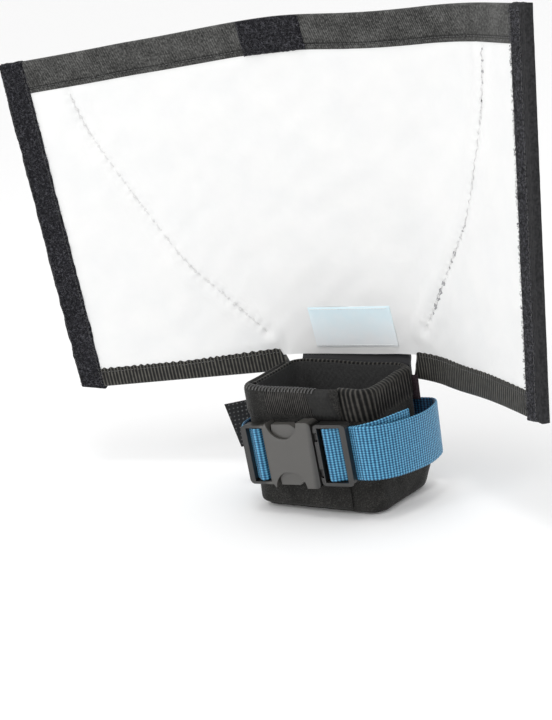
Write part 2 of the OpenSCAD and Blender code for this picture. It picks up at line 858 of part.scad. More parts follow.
centre_front();
centre_liner();
centre_back();
centre_rod();
centre_rod_sleeve();
centre_top_binding();
top_loop_patch();
label();
left_inner_front();
left_inner_liner();
left_inner_back();
left_inner_top_binding();
left_rod();
left_rod_sleeve();
left_outer_front();
left_outer_liner();
left_outer_back();
left_outer_top_binding();
left_outer_bottom_binding();
left_wing_front();
left_wing_liner();
left_wing_back();
left_wing_top_binding();
left_wing_bottom_binding();
left_strip();
right_inner_front();
right_inner_liner();
right_inner_back();
right_inner_top_binding();
right_rod();
right_rod_sleeve();
right_outer_front();
right_outer_liner();
right_outer_back();
right_outer_top_binding();
right_outer_bottom_binding();
right_wing_front();
right_wing_liner();
right_wing_back();
right_wing_top_binding();
right_wing_bottom_binding();
right_strip();
grip_lining();
foam_core();
wrap_cover();
lower_binding();
wrap_band();
front_flap();
flap_band();
flap_fastener();
panel_tab();
belt_tunnel();
pull_tab();
socket();
socket_belt();
plug();
upper_arm();
lower_arm();
plug_belt();
belt_tail();
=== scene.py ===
"""Looks for the flash snoot and bounce panel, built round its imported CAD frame.

The white panel, its bindings and its hook-and-loop strips are cut flat as (u, v) in millimetres and bent
by panel_point(), as the CAD is. Each layer is split inside a stiff section, so that every piece crosses
one joint only. The wrap is lofted along paths round the flash head, and the belt along its own route.
"""

import math

import bmesh
import bpy
import numpy as np
from mathutils import Matrix, Vector, noise


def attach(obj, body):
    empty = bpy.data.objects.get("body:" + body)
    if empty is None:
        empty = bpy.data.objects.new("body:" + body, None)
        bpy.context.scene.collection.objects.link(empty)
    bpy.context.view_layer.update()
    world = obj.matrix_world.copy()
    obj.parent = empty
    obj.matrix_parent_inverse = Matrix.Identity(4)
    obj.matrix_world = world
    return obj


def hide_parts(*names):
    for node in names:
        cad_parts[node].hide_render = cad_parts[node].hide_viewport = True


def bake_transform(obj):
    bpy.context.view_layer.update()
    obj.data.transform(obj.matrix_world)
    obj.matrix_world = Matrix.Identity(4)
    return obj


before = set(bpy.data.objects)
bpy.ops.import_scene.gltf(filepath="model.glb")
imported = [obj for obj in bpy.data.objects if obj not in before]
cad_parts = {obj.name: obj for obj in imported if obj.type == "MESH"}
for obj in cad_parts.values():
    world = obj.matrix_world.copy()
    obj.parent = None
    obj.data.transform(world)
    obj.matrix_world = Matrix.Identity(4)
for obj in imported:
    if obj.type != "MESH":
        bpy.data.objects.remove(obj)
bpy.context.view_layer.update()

RANDOM = np.random.default_rng(11)
MM = 0.001

# ---------------------------------------------------------------- sizes, in mm
PANEL_W, PANEL_H = 390.0, 224.0
LEFT_CORNER, RIGHT_CORNER, LEFT_CROWN, RIGHT_CROWN = 219.2, 218.6, 80.0, 52.0
LEAN, TURN, FAN = math.radians(8.25), math.radians(2.25), math.radians(19.73)
LEFT_BEND, RIGHT_BEND, BEND_R, FLAT_HALF = 13.45, 38.45, 70.0, 25.0
PANEL_FOOT = np.array([-2.5, 32.3, 63.4])
HALF_W, STRIP_IN = PANEL_W / 2, PANEL_W / 2 - 18
TOP_BAND, BINDING_LOW, BINDING_TOP, CENTRE_LOW = 20.0, 4.5, 18.0, 15.0
PANEL_BACK = -2.4
SIDE_SEAM, WING_SEAM = 48.0, 136.0
HEAD_X, HEAD_Y = 39.0, 25.0
RIB_PITCH, BAND_PITCH = 2.4, 3.0
BELT_Z, BUCKLE_SLOPE, WEB_W, WEB_T = 38.5, math.radians(3.5), 32.0, 1.6
WEB_PITCH, WEB_ROW, HOOK_PITCH, ROLL_PITCH, GRIP_PITCH, STITCH = 2.1, 1.45, 2.6, 1.35, 4.2, 6.0
COVER_LOW, COVER_TOP, RIM_TOP = 1.0, 60.0, 6.5
BAND_LOW, BAND_TOP = 55.0, 75.0
FLAP_LOW, FLAP_TOP, ROLL_LOW, ROLL_TOP = 3.0, 59.0, 56.0, 75.8
BINDING_PROUD, STRIP_PROUD = 0.55, 0.95
LABEL = -22, 36, 20, 46
CUT_UNIT = 100.0

TILT_UP = np.array([0, -math.sin(LEAN), math.cos(LEAN)])
FACING = np.array([0, -math.cos(LEAN), -math.sin(LEAN)])
ACROSS = math.cos(TURN) * np.array([1.0, 0, 0]) + math.sin(TURN) * TILT_UP
UP = -math.sin(TURN) * np.array([1.0, 0, 0]) + math.cos(TURN) * TILT_UP


# ------------------------------------------------------------------ the camera
def make_camera():
    data = bpy.data.cameras.new("camera")
    data.sensor_width, data.lens = 36.0, 90.5
    data.clip_start, data.clip_end = 0.05, 60
    camera = bpy.data.objects.new("camera", data)
    bpy.context.scene.collection.objects.link(camera)
    right, up, back = (0.82249, 0.55219, -0.13635), (-0.03839, 0.29307, 0.95532), (0.56748, -0.78051, 0.26224)
    turn = Matrix((right, up, back)).transposed().to_4x4()
    camera.matrix_world = Matrix.Translation((0.58009, -0.84855, 0.36710)) @ turn
    bpy.context.scene.camera = camera


def area_light(name, place, aim, size, power):
    data = bpy.data.lights.new(name, "AREA")
    data.size, data.energy = size, power
    lamp = bpy.data.objects.new(name, data)
    lamp.location = place
    lamp.rotation_euler = (Vector(aim) - Vector(place)).to_track_quat("-Z", "Y").to_euler()
    bpy.context.scene.collection.objects.link(lamp)


def make_studio():
    scene = bpy.context.scene
    scene.view_settings.view_transform = "Standard"
    world = bpy.data.worlds.new("studio")
    world.use_nodes = True
    sky = world.node_tree.nodes["Background"].inputs
    sky["Color"].default_value, sky["Strength"].default_value = (1, 1, 1, 1), 0.97
    scene.world = world
    area_light("key", (-0.7, -1.3, 1.1), (0, 0, 0.13), 0.5, 3.4)
    area_light("fill", (1.3, -0.9, 0.7), (0, 0, 0.12), 0.8, 0.7)
    area_light("top", (0.15, -0.42, 1.5), (0, 0, 0.1), 0.35, 3.0)
    bpy.ops.mesh.primitive_circle_add(vertices=64, radius=14, fill_type="NGON", location=(0, 0, -0.0008))
    floor = bpy.context.object
    floor.name = "floor"
    Shades("floor_pale", (0.98, 0.98, 0.98), 0.8, Specular_IOR_Level=0.1)
    floor.data.materials.append(LOOK["floor_pale"])


# --------------------------------------------------------------- the materials
LOOK = {}


class Value:
    """The output of a pattern node. It takes +, - and * as a number does."""

    def __init__(self, shades, output):
        self.shades, self.output = shades, output

    def __add__(self, other):
        return self.shades.math("ADD", self, other)

    def __sub__(self, other):
        return self.shades.math("SUBTRACT", self, other)

    def __mul__(self, other):
        return self.shades.math("MULTIPLY", self, other)


class Shades:
    """A Principled material, kept in LOOK, with short calls for its pattern nodes. Lengths are in mm."""

    def __init__(self, name, colour, rough, **inputs):
        LOOK[name] = bpy.data.materials.new(name)
        LOOK[name].use_nodes = True
        self.tree = LOOK[name].node_tree
        self.shader = self.tree.nodes["Principled BSDF"]
        self.shader.inputs["Base Color"].default_value = (*colour, 1)
        self.shader.inputs["Roughness"].default_value = rough
        for key, value in inputs.items():
            self.shader.inputs[key.replace("_", " ")].default_value = value

    def node(self, kind, output, inputs, **settings):
        """One output of a new node. Each of its inputs is linked to a Value or set to a number."""
        made = self.tree.nodes.new("ShaderNode" + kind)
        for name, value in settings.items():
            setattr(made, name, value)
        for socket, value in inputs.items():
            if isinstance(value, Value):
                self.tree.links.new(value.output, made.inputs[socket])
            else:
                made.inputs[socket].default_value = value
        return Value(self, made.outputs[output])

    def give(self, socket, value):
        self.tree.links.new(value.output, self.shader.inputs[socket])

    def math(self, operation, *values):
        return self.node("Math", 0, dict(enumerate(values)), operation=operation)

    def scaled(self, vector, by):
        return self.node("VectorMath", 0, {0: vector, 1: (by, by, by)}, operation="MULTIPLY")

    def axis(self, vector, name):
        return self.node("SeparateXYZ", name, {0: vector})

    def place(self):
        """Where a point is in the object's own frame, in mm."""
        return self.scaled(self.node("TexCoord", "Object", {}), 1 / MM)

    def cut(self):
        """Where a point is on the flat cut, in mm: as a vector, along it and up it."""
        flat = self.scaled(self.node("UVMap", "UV", {}, uv_map="cut"), CUT_UNIT)
        return flat, self.axis(flat, "X"), self.axis(flat, "Y")

    def wave(self, along, pitch):
        """0 to 1 and back once each pitch."""
        return self.math("SINE", along * (2 * math.pi / pitch)) * 0.5 + 0.5

    def noise(self, vector, size, detail=2.0, rough=0.5):
        inputs = {"Vector": vector, "Scale": 1 / size, "Detail": detail, "Roughness": rough}
        return self.node("TexNoise", "Fac", inputs)

    def colour(self, factor, *stops):
        """The base colour, from a ramp with these stops of (factor, colour)."""
        ramp = self.node("ValToRGB", "Color", {"Fac": factor})
        elements = ramp.output.node.color_ramp.elements
        while len(elements) < len(stops):
            elements.new(0.5)
        for element, (spot, colour) in zip(elements, stops):
            element.position, element.color = spot, (*colour, 1)
        self.give("Base Color", ramp)

    def roughness(self, factor, low, high):
        inputs = {"Value": factor, "To Min": low, "To Max": high}
        self.give("Roughness", self.node("MapRange", "Result", inputs))

    def bump(self, height, depth, strength=0.6):
        """Relief of that depth, in mm, on top of any before it."""
        inputs = {"Height": height, "Strength": strength, "Distance": depth * MM}
        before = self.shader.inputs["Normal"]
        if before.is_linked:
            inputs["Normal"] = Value(self, before.links[0].from_socket)
        self.give("Normal", self.node("Bump", "Normal", inputs))


def white_nylon():
    made = Shades("white_nylon", (0.88, 0.885, 0.885), 0.5, Sheen_Weight=0.15)
    cut, across, up = made.cut()
    threads = made.wave(across, 0.42) * made.wave(up, 0.42)
    creases = made.noise(cut, 26.0, 3.0, 0.55)
    made.colour(creases, (0.3, (0.83, 0.835, 0.835)), (0.7, (0.872, 0.872, 0.866)))
    made.bump(creases, 1.6, 0.5)
    made.bump(threads, 0.05, 0.35)
    made.roughness(threads, 0.42, 0.6)


def black_nylon():
    made = Shades("black_nylon", (0.018, 0.018, 0.02), 0.55, Sheen_Weight=0.1, Specular_IOR_Level=0.25)
    cut, across, up = made.cut()
    threads = made.math("MAXIMUM", made.wave(across, 0.55), made.wave(up, 0.55))
    made.colour(threads, (0.3, (0.004, 0.004, 0.005)), (1.0, (0.026, 0.026, 0.029)))
    made.bump(made.noise(cut, 24.0, 3.0, 0.55), 0.8, 0.4)
    made.bump(threads, 0.08, 0.5)


def twill_binding():
    """Worn twill: slanting ribs, specks, and a darker line where the hem is sewn."""
    made = Shades("twill_binding", (0.04, 0.04, 0.04), 0.75, Sheen_Weight=0.12, Specular_IOR_Level=0.2)
    cut, across, up = made.cut()
    cloth = made.wave(up, 0.6) * 0.3 + made.wave(across - up * 0.75, 1.25) * 0.7
    left = made.math("LESS_THAN", across, 0.0)
    corner = left * (LEFT_CORNER - RIGHT_CORNER) + RIGHT_CORNER
    share = made.math("DIVIDE", across, left * (LEFT_CROWN - RIGHT_CROWN) + RIGHT_CROWN)
    crown = made.math("EXPONENT", share * share * -1.0)
    top = made.math("SUBTRACT", PANEL_H, corner) * crown + corner
    hem = made.math("MINIMUM", made.math("ABSOLUTE", top - (TOP_BAND - 3.2) - up) * 0.8, 1.0)
    tone_mix = made.noise(cut, 11.0) * 0.3 + made.noise(cut, 1.5, 3.0, 0.7) * 0.85 + hem * 0.17
    stops = (0.36, (0.003, 0.003, 0.003)), (0.62, (0.03, 0.03, 0.0285)), (0.85, (0.14, 0.14, 0.135))
    made.colour(cloth * 0.3 + tone_mix - 0.24, *stops)
    made.bump(cloth, 0.16, 0.7)


def ribbed_binding():
    made = Shades("ribbed_binding", (0.03, 0.028, 0.026), 0.62, Sheen_Weight=0.1, Specular_IOR_Level=0.25)
    cut, across, up = made.cut()
    tone_mix = made.noise(cut, 4.0, 3.0) * 0.5 + made.wave(across, RIB_PITCH) * 0.7
    stops = (0.32, (0.002, 0.002, 0.0018)), (0.66, (0.014, 0.0134, 0.012)), (0.97, (0.1, 0.096, 0.083))
    made.colour(tone_mix, *stops)
    made.bump(made.wave(up, 0.5), 0.06, 0.4)


def hook_loop():
    made = Shades("hook_loop", (0.02, 0.02, 0.028), 0.9, Sheen_Weight=0.1, Specular_IOR_Level=0.15)
    clumps = made.noise(made.place(), 1.25, 3.0, 0.7)
    stops = (0.42, (0.002, 0.002, 0.004)), (0.54, (0.009, 0.009, 0.012)), (0.68, (0.09, 0.09, 0.105))
    made.colour(clumps, *stops)
    made.bump(clumps, 0.9, 0.9)


def hook_tab():
    """Moulded hooks in rows, with a painted highlight on each tip."""
    made = Shades("hook_tab", (0.02, 0.02, 0.022), 0.6, Specular_IOR_Level=0.3)
    cut, across, up = made.cut()
    hook_tips_and_glints = made.wave(across, HOOK_PITCH) * made.wave(up, HOOK_PITCH)
    # painted highlight: the hook tips are coloured pale; the same pattern gives the hooks' relief
    stops = (0.3, (0.008, 0.008, 0.009)), (0.66, (0.02, 0.02, 0.021)), (0.9, (0.17, 0.17, 0.165))
    made.colour(made.noise(cut, 2.2, 3.0, 0.7) * 0.5 + hook_tips_and_glints * 0.6, *stops)
    made.bump(hook_tips_and_glints, 0.2, 0.6)


def fuzz_fibre():
    made = Shades("fuzz_fibre", (0.06, 0.06, 0.075), 0.55, Sheen_Weight=0.1, Specular_IOR_Level=0.3)
    made.colour(made.noise(made.place(), 2.0), (0.38, (0.005, 0.005, 0.008)), (0.66, (0.15, 0.15, 0.17)))


def woven_label():
    made = Shades("woven_label", (0.8, 0.86, 0.93), 0.5, Sheen_Weight=0.2)
    cut, across, up = made.cut()
    rows = made.wave(across, 0.5) * made.wave(up, 0.36)
    tone = made.noise(cut, 7.0) * 0.3 + rows * 0.2 + (up - 20.0) * 0.022
    made.colour(tone, (0.25, (0.87, 0.9, 0.92)), (0.85, (0.7, 0.88, 0.95)))
    made.bump(rows, 0.07, 0.6)


def wrap_cloth():
    sheen = {"Sheen_Weight": 0.12, "Sheen_Roughness": 0.4}
    made = Shades("wrap_cloth", (0.016, 0.016, 0.016), 0.85, Specular_IOR_Level=0.2, **sheen)
    spot = made.place()
    nap = made.noise(spot, 0.8, 3.0, 0.75)
    stops = (0.3, (0.005, 0.005, 0.0048)), (0.5, (0.02, 0.0195, 0.0185)), (0.75, (0.075, 0.073, 0.068))
    made.colour(made.noise(spot, 10.0) * 0.22 + nap * 0.78, *stops)
    made.bump(made.noise(spot, 14.0), 0.9, 0.4)
    made.bump(nap, 0.2, 0.8)


def elastic(name, pitch, light):
    """Ribbed elastic: dark gaps once each pitch along the cut."""
    made = Shades(name, (0.04, 0.037, 0.034), 0.65, Sheen_Weight=0.05, Specular_IOR_Level=0.15)
    cut, along, up = made.cut()
    tone_mix = made.noise(cut, 3.0, 3.0) * 0.55 + made.wave(up * 0.12 + along, pitch) * 0.65
    made.colour(tone_mix, (0.3, (0.002, 0.002, 0.002)), (0.6, (0.013, 0.0125, 0.012)), (0.95, light))
    made.bump(made.wave(up, 0.6), 0.08, 0.6)


def belt_webbing(name, dark, mid, light):
    made = Shades(name, mid, 0.5, Sheen_Weight=0.12, Specular_IOR_Level=0.3)
    cut, along, across = made.cut()
    shift = made.math("SIGN", made.math("SINE", along * (math.pi / WEB_PITCH))) * 0.8
    weave = made.wave(along, WEB_PITCH) * 0.6 + made.wave(across + shift, WEB_ROW) * 0.4
    made.colour(made.noise(cut, 3.0, 3.0) * 0.3 + weave * 0.85, (0.3, dark), (0.55, mid), (0.92, light))
    made.bump(weave, 0.3, 0.8)
    made.roughness(weave, 0.62, 0.42)


def buckle_plastic():
    """Black plastic, finely grained, with a painted reflection: paler across the buckle's middle and darker
    round the bars.
    """
    made = Shades("buckle_plastic", (0.03, 0.029, 0.027), 0.3, Specular_IOR_Level=0.8)
    spot = made.place()
    # painted reflection: the middle face is coloured paler than the bars, and a random tone is added to it
    from_middle = made.math("ABSOLUTE", made.axis(spot, "X") + 8.0)
    painted_reflection = made.math("MINIMUM", made.math("SUBTRACT", 19.0, from_middle) * 0.3, 1.0)
    tone_mix = made.noise(spot, 9.0) * 0.3 + painted_reflection * 0.7
    made.colour(tone_mix, (0.16, (0.011, 0.0105, 0.0098)), (0.8, (0.068, 0.065, 0.06)))
    made.roughness(made.noise(spot, 2.5), 0.26, 0.42)
    made.bump(made.noise(spot, 0.35), 0.03, 0.5)


def dull(name, low, high, rough, grain, depth, **inputs):
    """A plain moulded, foamed or spun finish: two tones in a noise of that grain, in mm."""
    made = Shades(name, high, rough, **inputs)
    spots = made.noise(made.place(), grain, 3.0)
    made.colour(spots, (0.3, low), (0.7, high))
    made.bump(spots, depth, 0.6)


def make_looks():
    for plain in (white_nylon, black_nylon, twill_binding, ribbed_binding, hook_loop, hook_tab, fuzz_fibre,
                  woven_label, wrap_cloth, buckle_plastic):
        plain()
    elastic("wide_elastic", BAND_PITCH, (0.07, 0.066, 0.059))
    elastic("fine_elastic", ROLL_PITCH, (0.085, 0.08, 0.075))
    belt_webbing("belt_webbing", (0.008, 0.05, 0.115), (0.026, 0.16, 0.31), (0.13, 0.42, 0.64))
    # painted shade: a darker navy copy of the webbing for the straps' inner faces
    belt_webbing("belt_inside_painted_shade", (0.001, 0.006, 0.02), (0.004, 0.03, 0.08), (0.03, 0.14, 0.27))
    shiny, sheen = "Specular_IOR_Level", "Sheen_Weight"
    for name, low, high, *finish, extra in (
        ("selvage", (0.004, 0.004, 0.005), (0.03, 0.03, 0.032), 0.7, 1.4, 0.1, {shiny: 0.25}),
        ("folded_end", (0.012, 0.008, 0.01), (0.05, 0.034, 0.042), 0.8, 1.0, 0.1, {shiny: 0.2}),
        ("keeper_cloth", (0.004, 0.004, 0.004), (0.014, 0.0138, 0.013), 0.5, 1.2, 0.12, {shiny: 0.3}),
        ("white_thread", (0.7, 0.7, 0.7), (0.85, 0.85, 0.85), 0.6, 0.4, 0.05, {sheen: 0.2}),
        ("dark_thread", (0.03, 0.03, 0.03), (0.1, 0.1, 0.098), 0.6, 0.5, 0.05, {sheen: 0.3}),
        # painted shade: the grey discs at the needle holes in the white fabric
        ("needle_hole_painted_shade", (0.66, 0.66, 0.66), (0.78, 0.78, 0.77), 0.9, 0.3, 0.05, {}),
        ("grip_rubber", (0.02, 0.02, 0.02), (0.04, 0.04, 0.04), 0.75, 0.8, 0.1, {}),
        ("stiffener", (0.3, 0.3, 0.31), (0.38, 0.38, 0.39), 0.8, 3.0, 0.1, {}),
        ("rod_metal", (0.42, 0.43, 0.45), (0.56, 0.57, 0.6), 0.35, 1.5, 0.03, {"Metallic": 1.0}),
        ("sleeve_cloth", (0.01, 0.01, 0.011), (0.03, 0.03, 0.032), 0.7, 0.8, 0.12, {sheen: 0.25}),
    ):
        dull(name, low, high, *finish, **extra)


# ------------------------------------------------------------------ mesh tools
def unit(x):
    return np.clip(x, 0, 1)


def quarter(x):
    """Rises along a quarter circle, from 0 at 0 to 1 at 1 and beyond."""
    return np.sqrt(unit(1 - (1 - unit(x)) ** 2))


def bell(x, middle, width):
    """1 at the middle, falling off smoothly over that width."""
    return np.exp(-(((x - middle) / width) ** 2))


def new_piece(name, points, faces, materials, cut=None, face_materials=None, sharp=48, weld=False):
    """A smooth-shaded mesh object from points in mm. cut gives each point's place on the flat cut, in mm."""
    mesh = bpy.data.meshes.new(name)
    mesh.from_pydata((np.asarray(points) * MM).tolist(), [], faces)
    for material in materials:
        mesh.materials.append(LOOK[material])
    if face_materials is not None:
        mesh.polygons.foreach_set("material_index", face_materials)
    if cut is not None:
        layer = mesh.uv_layers.new(name="cut")
        loops = np.zeros(len(mesh.loops), np.int32)
        mesh.loops.foreach_get("vertex_index", loops)
        layer.data.foreach_set("uv", (np.asarray(cut, float)[loops] / CUT_UNIT).ravel())
    piece = bpy.data.objects.new(name, mesh)
    bpy.context.scene.collection.objects.link(piece)
    work = bmesh.new()
    work.from_mesh(mesh)
    if weld:
        bmesh.ops.remove_doubles(work, verts=work.verts, dist=2e-6)
        bmesh.ops.dissolve_degenerate(work, dist=1e-7, edges=work.edges)
    bmesh.ops.recalc_face_normals(work, faces=work.faces)
    work.to_mesh(mesh)
    work.free()
    mesh.shade_smooth()
    mesh.set_sharp_from_angle(angle=math.radians(sharp))
    return piece


def dress(piece, body, nodes=()):
    """Says which body the piece rides, and hides the CAD nodes it replaces."""
    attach(piece, body)
    if nodes:
        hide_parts(*nodes)


def two_skins(rows, columns, wrap=False):
    """Quads of two grids of rows x columns points, back to back; wrap closes each row on itself."""
    faces = []
    for j in range(0, (rows - 1) * columns, columns):
        for i in range(columns if wrap else columns - 1):
            n = (i + 1) % columns
            faces.append((j + i, j + n, j + columns + n, j + columns + i))
    return faces + [tuple(rows * columns + k for k in reversed(face)) for face in faces]


def tube_faces(base, rings, sides):
    """Quads round a thin tube whose rings of points start at base, and its two ends."""
    faces = []
    for low in range(base, base + sides * (rings - 1), sides):
        for m in range(sides):
            n = (m + 1) % sides
            faces.append((low + m, low + n, low + sides + n, low + sides + m))
    last = base + sides * (rings - 1)
    return faces + [tuple(base + m for m in reversed(range(sides))), tuple(last + m for m in range(sides))]


def slab(name, front, back, cut, material, pick=None):
    """A closed sheet between two grids of points, in mm, with walls along its four edges.

    With pick, material is a list and pick(x, y, layer) gives the one to use at each place on the flat
    cut: layer is 0 in front, 1 behind and 2 along the walls.
    """
    rows, columns = front.shape[:2]
    count = rows * columns
    faces = two_skins(rows, columns)
    rim = [i for i in range(columns)] + [j * columns + columns - 1 for j in range(1, rows)]
    rim += [count - 1 - i for i in range(1, columns)] + [j * columns for j in range(rows - 2, 0, -1)]
    faces += [(a, count + a, count + b, b) for a, b in zip(rim, rim[1:] + rim[:1])]
    points = np.concatenate([front.reshape(-1, 3), back.reshape(-1, 3)])
    flat = np.concatenate([cut.reshape(-1, 2)] * 2)
    if pick is None:
        return new_piece(name, points, faces, [material], flat, weld=True)
    corner = flat[[face[0] for face in faces]]
    layer = np.minimum(np.arange(len(faces)) // ((rows - 1) * (columns - 1)), 2)
    return new_piece(name, points, faces, material, flat, pick(*corner.T, layer).astype(int).tolist())


def smooth_line(stations, steps):
    """Points along a Catmull-Rom curve through the stations."""
    stations = np.asarray(stations, float)
    last = len(stations) - 1
    found = []
    for i in range(last):
        a, b = stations[max(i - 1, 0)], stations[i]
        c, d = stations[i + 1], stations[min(i + 2, last)]
        for k in range(steps + (i == last - 1)):
            t = k / steps
            bend = (2 * a - 5 * b + 4 * c - d) * t * t + (3 * b - a - 3 * c + d) * t**3
            found.append(0.5 * (2 * b + (c - a) * t + bend))
    return np.array(found)


def even_line(points, gap):
    """The same line with points a gap apart, and how far along it each one is."""
    points = np.asarray(points, float)
    lengths = np.concatenate([[0], np.cumsum(np.linalg.norm(np.diff(points, axis=0), axis=1))])
    count = max(2, int(round(lengths[-1] / gap)) + 1)
    along = np.linspace(0, lengths[-1], count)
    return np.stack([np.interp(along, lengths, points[:, k]) for k in range(points.shape[1])], 1), along


def ripple(u, v, size, seed=0.0):
    """Smooth noise from about -1 to 1 at each (u, v), with features of that size in mm."""
    flat = zip(np.ravel(u) / size, np.ravel(v) / size)
    return np.array([noise.noise(Vector((a, b, seed))) for a, b in flat]).reshape(np.shape(u))


# ------------------------------------------------------------------- the panel
def panel_point(u, v, h=0.0):
    """Points of the bent panel for places on its flat cut, h in front of its face."""
    u, v, h = np.broadcast_arrays(*(np.asarray(x, float) for x in (u, v, h)))
    side = np.where(u < 0, -1.0, 1.0)
    arc = np.radians(np.where(u < 0, LEFT_BEND, RIGHT_BEND)) * BEND_R
    beyond = (abs(u) - FLAT_HALF) * math.cos(FAN) - v * math.sin(FAN)
    along = (abs(u) - FLAT_HALF) * math.sin(FAN) + v * math.cos(FAN)
    turned = np.clip(beyond, 0, arc) / BEND_R
    rest = np.maximum(beyond - arc, 0)
    reach = np.where(beyond <= 0, beyond, BEND_R * np.sin(turned) + rest * np.cos(turned))
    rise = BEND_R * (1 - np.cos(turned)) + rest * np.sin(turned)
    out = side[..., None] * math.cos(FAN) * ACROSS - math.sin(FAN) * UP
    x = side * (FLAT_HALF + along * math.sin(FAN) + reach * math.cos(FAN))
    y = along * math.cos(FAN) - reach * math.sin(FAN)
    normal = np.cos(turned)[..., None] * FACING - np.sin(turned)[..., None] * out
    flat = PANEL_FOOT + x[..., None] * ACROSS + y[..., None] * UP
    return flat + rise[..., None] * FACING + h[..., None] * normal


def top_edge(u):
    u = np.asarray(u, float)
    corner, spread = np.where(u < 0, LEFT_CORNER, RIGHT_CORNER), np.where(u < 0, LEFT_CROWN, RIGHT_CROWN)
    return corner + (PANEL_H - corner) * np.exp(-((u / spread) ** 2))


def crease(v):
    """How far out the middle line of the slanting bend lies at each height."""
    past = math.radians(RIGHT_BEND / 2) * BEND_R
    return FLAT_HALF + (past + np.asarray(v) * math.sin(FAN)) / math.cos(FAN)


def inner_split(v):
    """Where the middle piece ends and the crease piece begins."""
    return 52 + (np.asarray(v) - 16) * 0.1845


def outer_split(v):
    """Where the crease piece ends and the wing piece begins."""
    return 93 + (np.asarray(v) - 4.5) * 0.1825


def centre(v):
    return np.zeros_like(np.asarray(v, float))


def strip_line(v):
    """The fabric runs on a little way under the strips."""
    return np.full_like(np.asarray(v, float), STRIP_IN + 5)


# Each part of one side: its name, its two side lines, its bodies and where the fabric folds
PARTS = [
    ("middle", centre, inner_split, ("middle", "inner")),
    ("crease", inner_split, outer_split, ("inner", "outer")),
    ("wing", outer_split, strip_line, ("outer", "wing")),
]
BODIES = {name: bodies for name, _, _, bodies in PARTS}
SIDES = {"left": -1, "right": 1}
FOLD_HALF = {"middle": 2.0, "crease": 2.2, "wing": 2.2}


def fold_line(part, side):
    """Two points in metres, before and after the line that this part folds on."""
    half = FOLD_HALF[part]
    if part == "middle":
        foot = PANEL_FOOT + 110 * UP
        ends = [foot + side * (SIDE_SEAM + k * half) * ACROSS for k in (-1, 1)]
    elif part == "crease":
        spread, height = half * np.array([math.cos(FAN), -math.sin(FAN)]), 110.0
        ends = [panel_point(side * (crease(height) + k * spread[0]), height + k * spread[1]) for k in (-1, 1)]
    else:
        ends = [panel_point(side * (WING_SEAM + k * half), 90.0) for k in (-1, 1)]
    return [tuple(float(x) * MM for x in end) for end in ends]


def fold_with(piece, part, side_name):
    """Bakes the piece's transform into its mesh; the fold line between this part's two bodies is worked out
    but not used.
    """
    start, end = fold_line(part, SIDES[side_name])
    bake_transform(piece)


def layer_nodes(side_name, part, layer):
    """The CAD nodes of that layer in the two stiff sections that this part crosses."""
    return [f"centre_{layer}" if body == "middle" else f"{side_name}_{body}_{layer}" for body in BODIES[part]]


# The curved rows of stitching, as (u, v) from their tops down
ARCS = {
    "left": smooth_line([(-151.5, 200), (-144.5, 172), (-127.5, 134.5), (-100.5, 83.5), (-78.5, 57),
                         (-55, 30)], 24),
    "right": smooth_line([(142, 200), (140.5, 180), (134, 153), (114.5, 106.5), (93, 78), (58, 31)], 24),
}


def near_arc(u, v):
    """Distance to the nearer stitched arc, and how far along it that place is."""
    points = np.stack([np.ravel(u), np.ravel(v)], 1)
    distance, along = np.full(len(points), 1e9), np.zeros(len(points))
    for arc in ARCS.values():
        line, lengths = even_line(arc, 1.5)
        gaps = np.linalg.norm(points[:, None] - line[None], axis=2)
        best = gaps.argmin(1)
        closest = gaps[np.arange(len(points)), best]
        along = np.where(closest < distance, lengths[best], along)
        distance = np.minimum(distance, closest)
    return distance.reshape(np.shape(u)), along.reshape(np.shape(u))


def inset(u, v):
    """How far inside the bindings and strips each place lies, in mm."""
    clear = np.minimum(top_edge(u) - TOP_BAND - v, v - np.where(abs(u) > 44, tape_top(u), -9))
    return np.minimum(clear, STRIP_IN - abs(u))


def fabric_relief(u, v):
    """How far the front fabric stands off its flat, in mm: slack, and puckers along the stitching."""
    distance, along = near_arc(u, v)
    slack = 0.8 * ripple(u, v, 52) + 0.5 * ripple(0.35 * (u + 0.8 * v), v - 0.8 * u, 13, 3.1)
    pucker = 0.6 * np.sin(2 * math.pi * along / STITCH) * bell(distance, 0, 3.8)
    groove = -0.8 * bell(distance, 0, 1.8)
    welt = 0.9 * bell(distance, 6.5, 4.0)
    return unit(inset(u, v) / 5 + 0.15) * (0.3 + slack + groove + pucker + welt)


def rear_relief(u, v):
    """Where the black back lies: soft creases, and a groove with puckers along the stitching."""
    distance, along = near_arc(u, v)
    sag = 0.6 * ripple(u, v, 44, 7.7) + 0.4 * ripple(0.3 * (u - v), u + v, 12, 1.3)
    pucker = 0.35 * np.sin(2 * math.pi * along / STITCH) * bell(distance, 0, 3.6)
    welt = 0.6 * bell(distance, 6.0, 4.0) - 0.35 * bell(distance, 0, 1.4)
    under = unit(inset(u, v) / 6 - 0.1)
    return PANEL_BACK - 0.08 - under * (0.4 + np.abs(sag) + np.maximum(pucker + welt, -0.3))


def cut_grid(side, inner, outer, low, high, cell=2.0):
    """Places (u, v) of a grid between two side lines and two heights, with u rising along each row."""
    b = np.linspace(0, 1, int(200 / cell))[:, None]
    width = float(np.max(outer(100.0) - inner(100.0)))
    a = np.linspace(0, 1, max(3, int(width / cell)))[None, :]
    if side < 0:
        a = 1 - a
    v = low(0 * b) + (high(0 * b) - low(0 * b)) * b
    for _ in range(3):
        u = side * (inner(v) + (outer(v) - inner(v)) * a)
        v = low(u) + (high(u) - low(u)) * b
    return u, v


def at(height):
    return lambda u: np.full_like(np.asarray(u, float), height)


def below_top(gap):
    return lambda u: top_edge(u) - gap


def places(u, v):
    return np.stack([u, v], -1)


def panel_slab(name, u, v, front, back, material):
    """A slab that lies on the panel, between two heights above its face."""
    return slab(name, panel_point(u, v, front), panel_point(u, v, back), places(u, v), material)


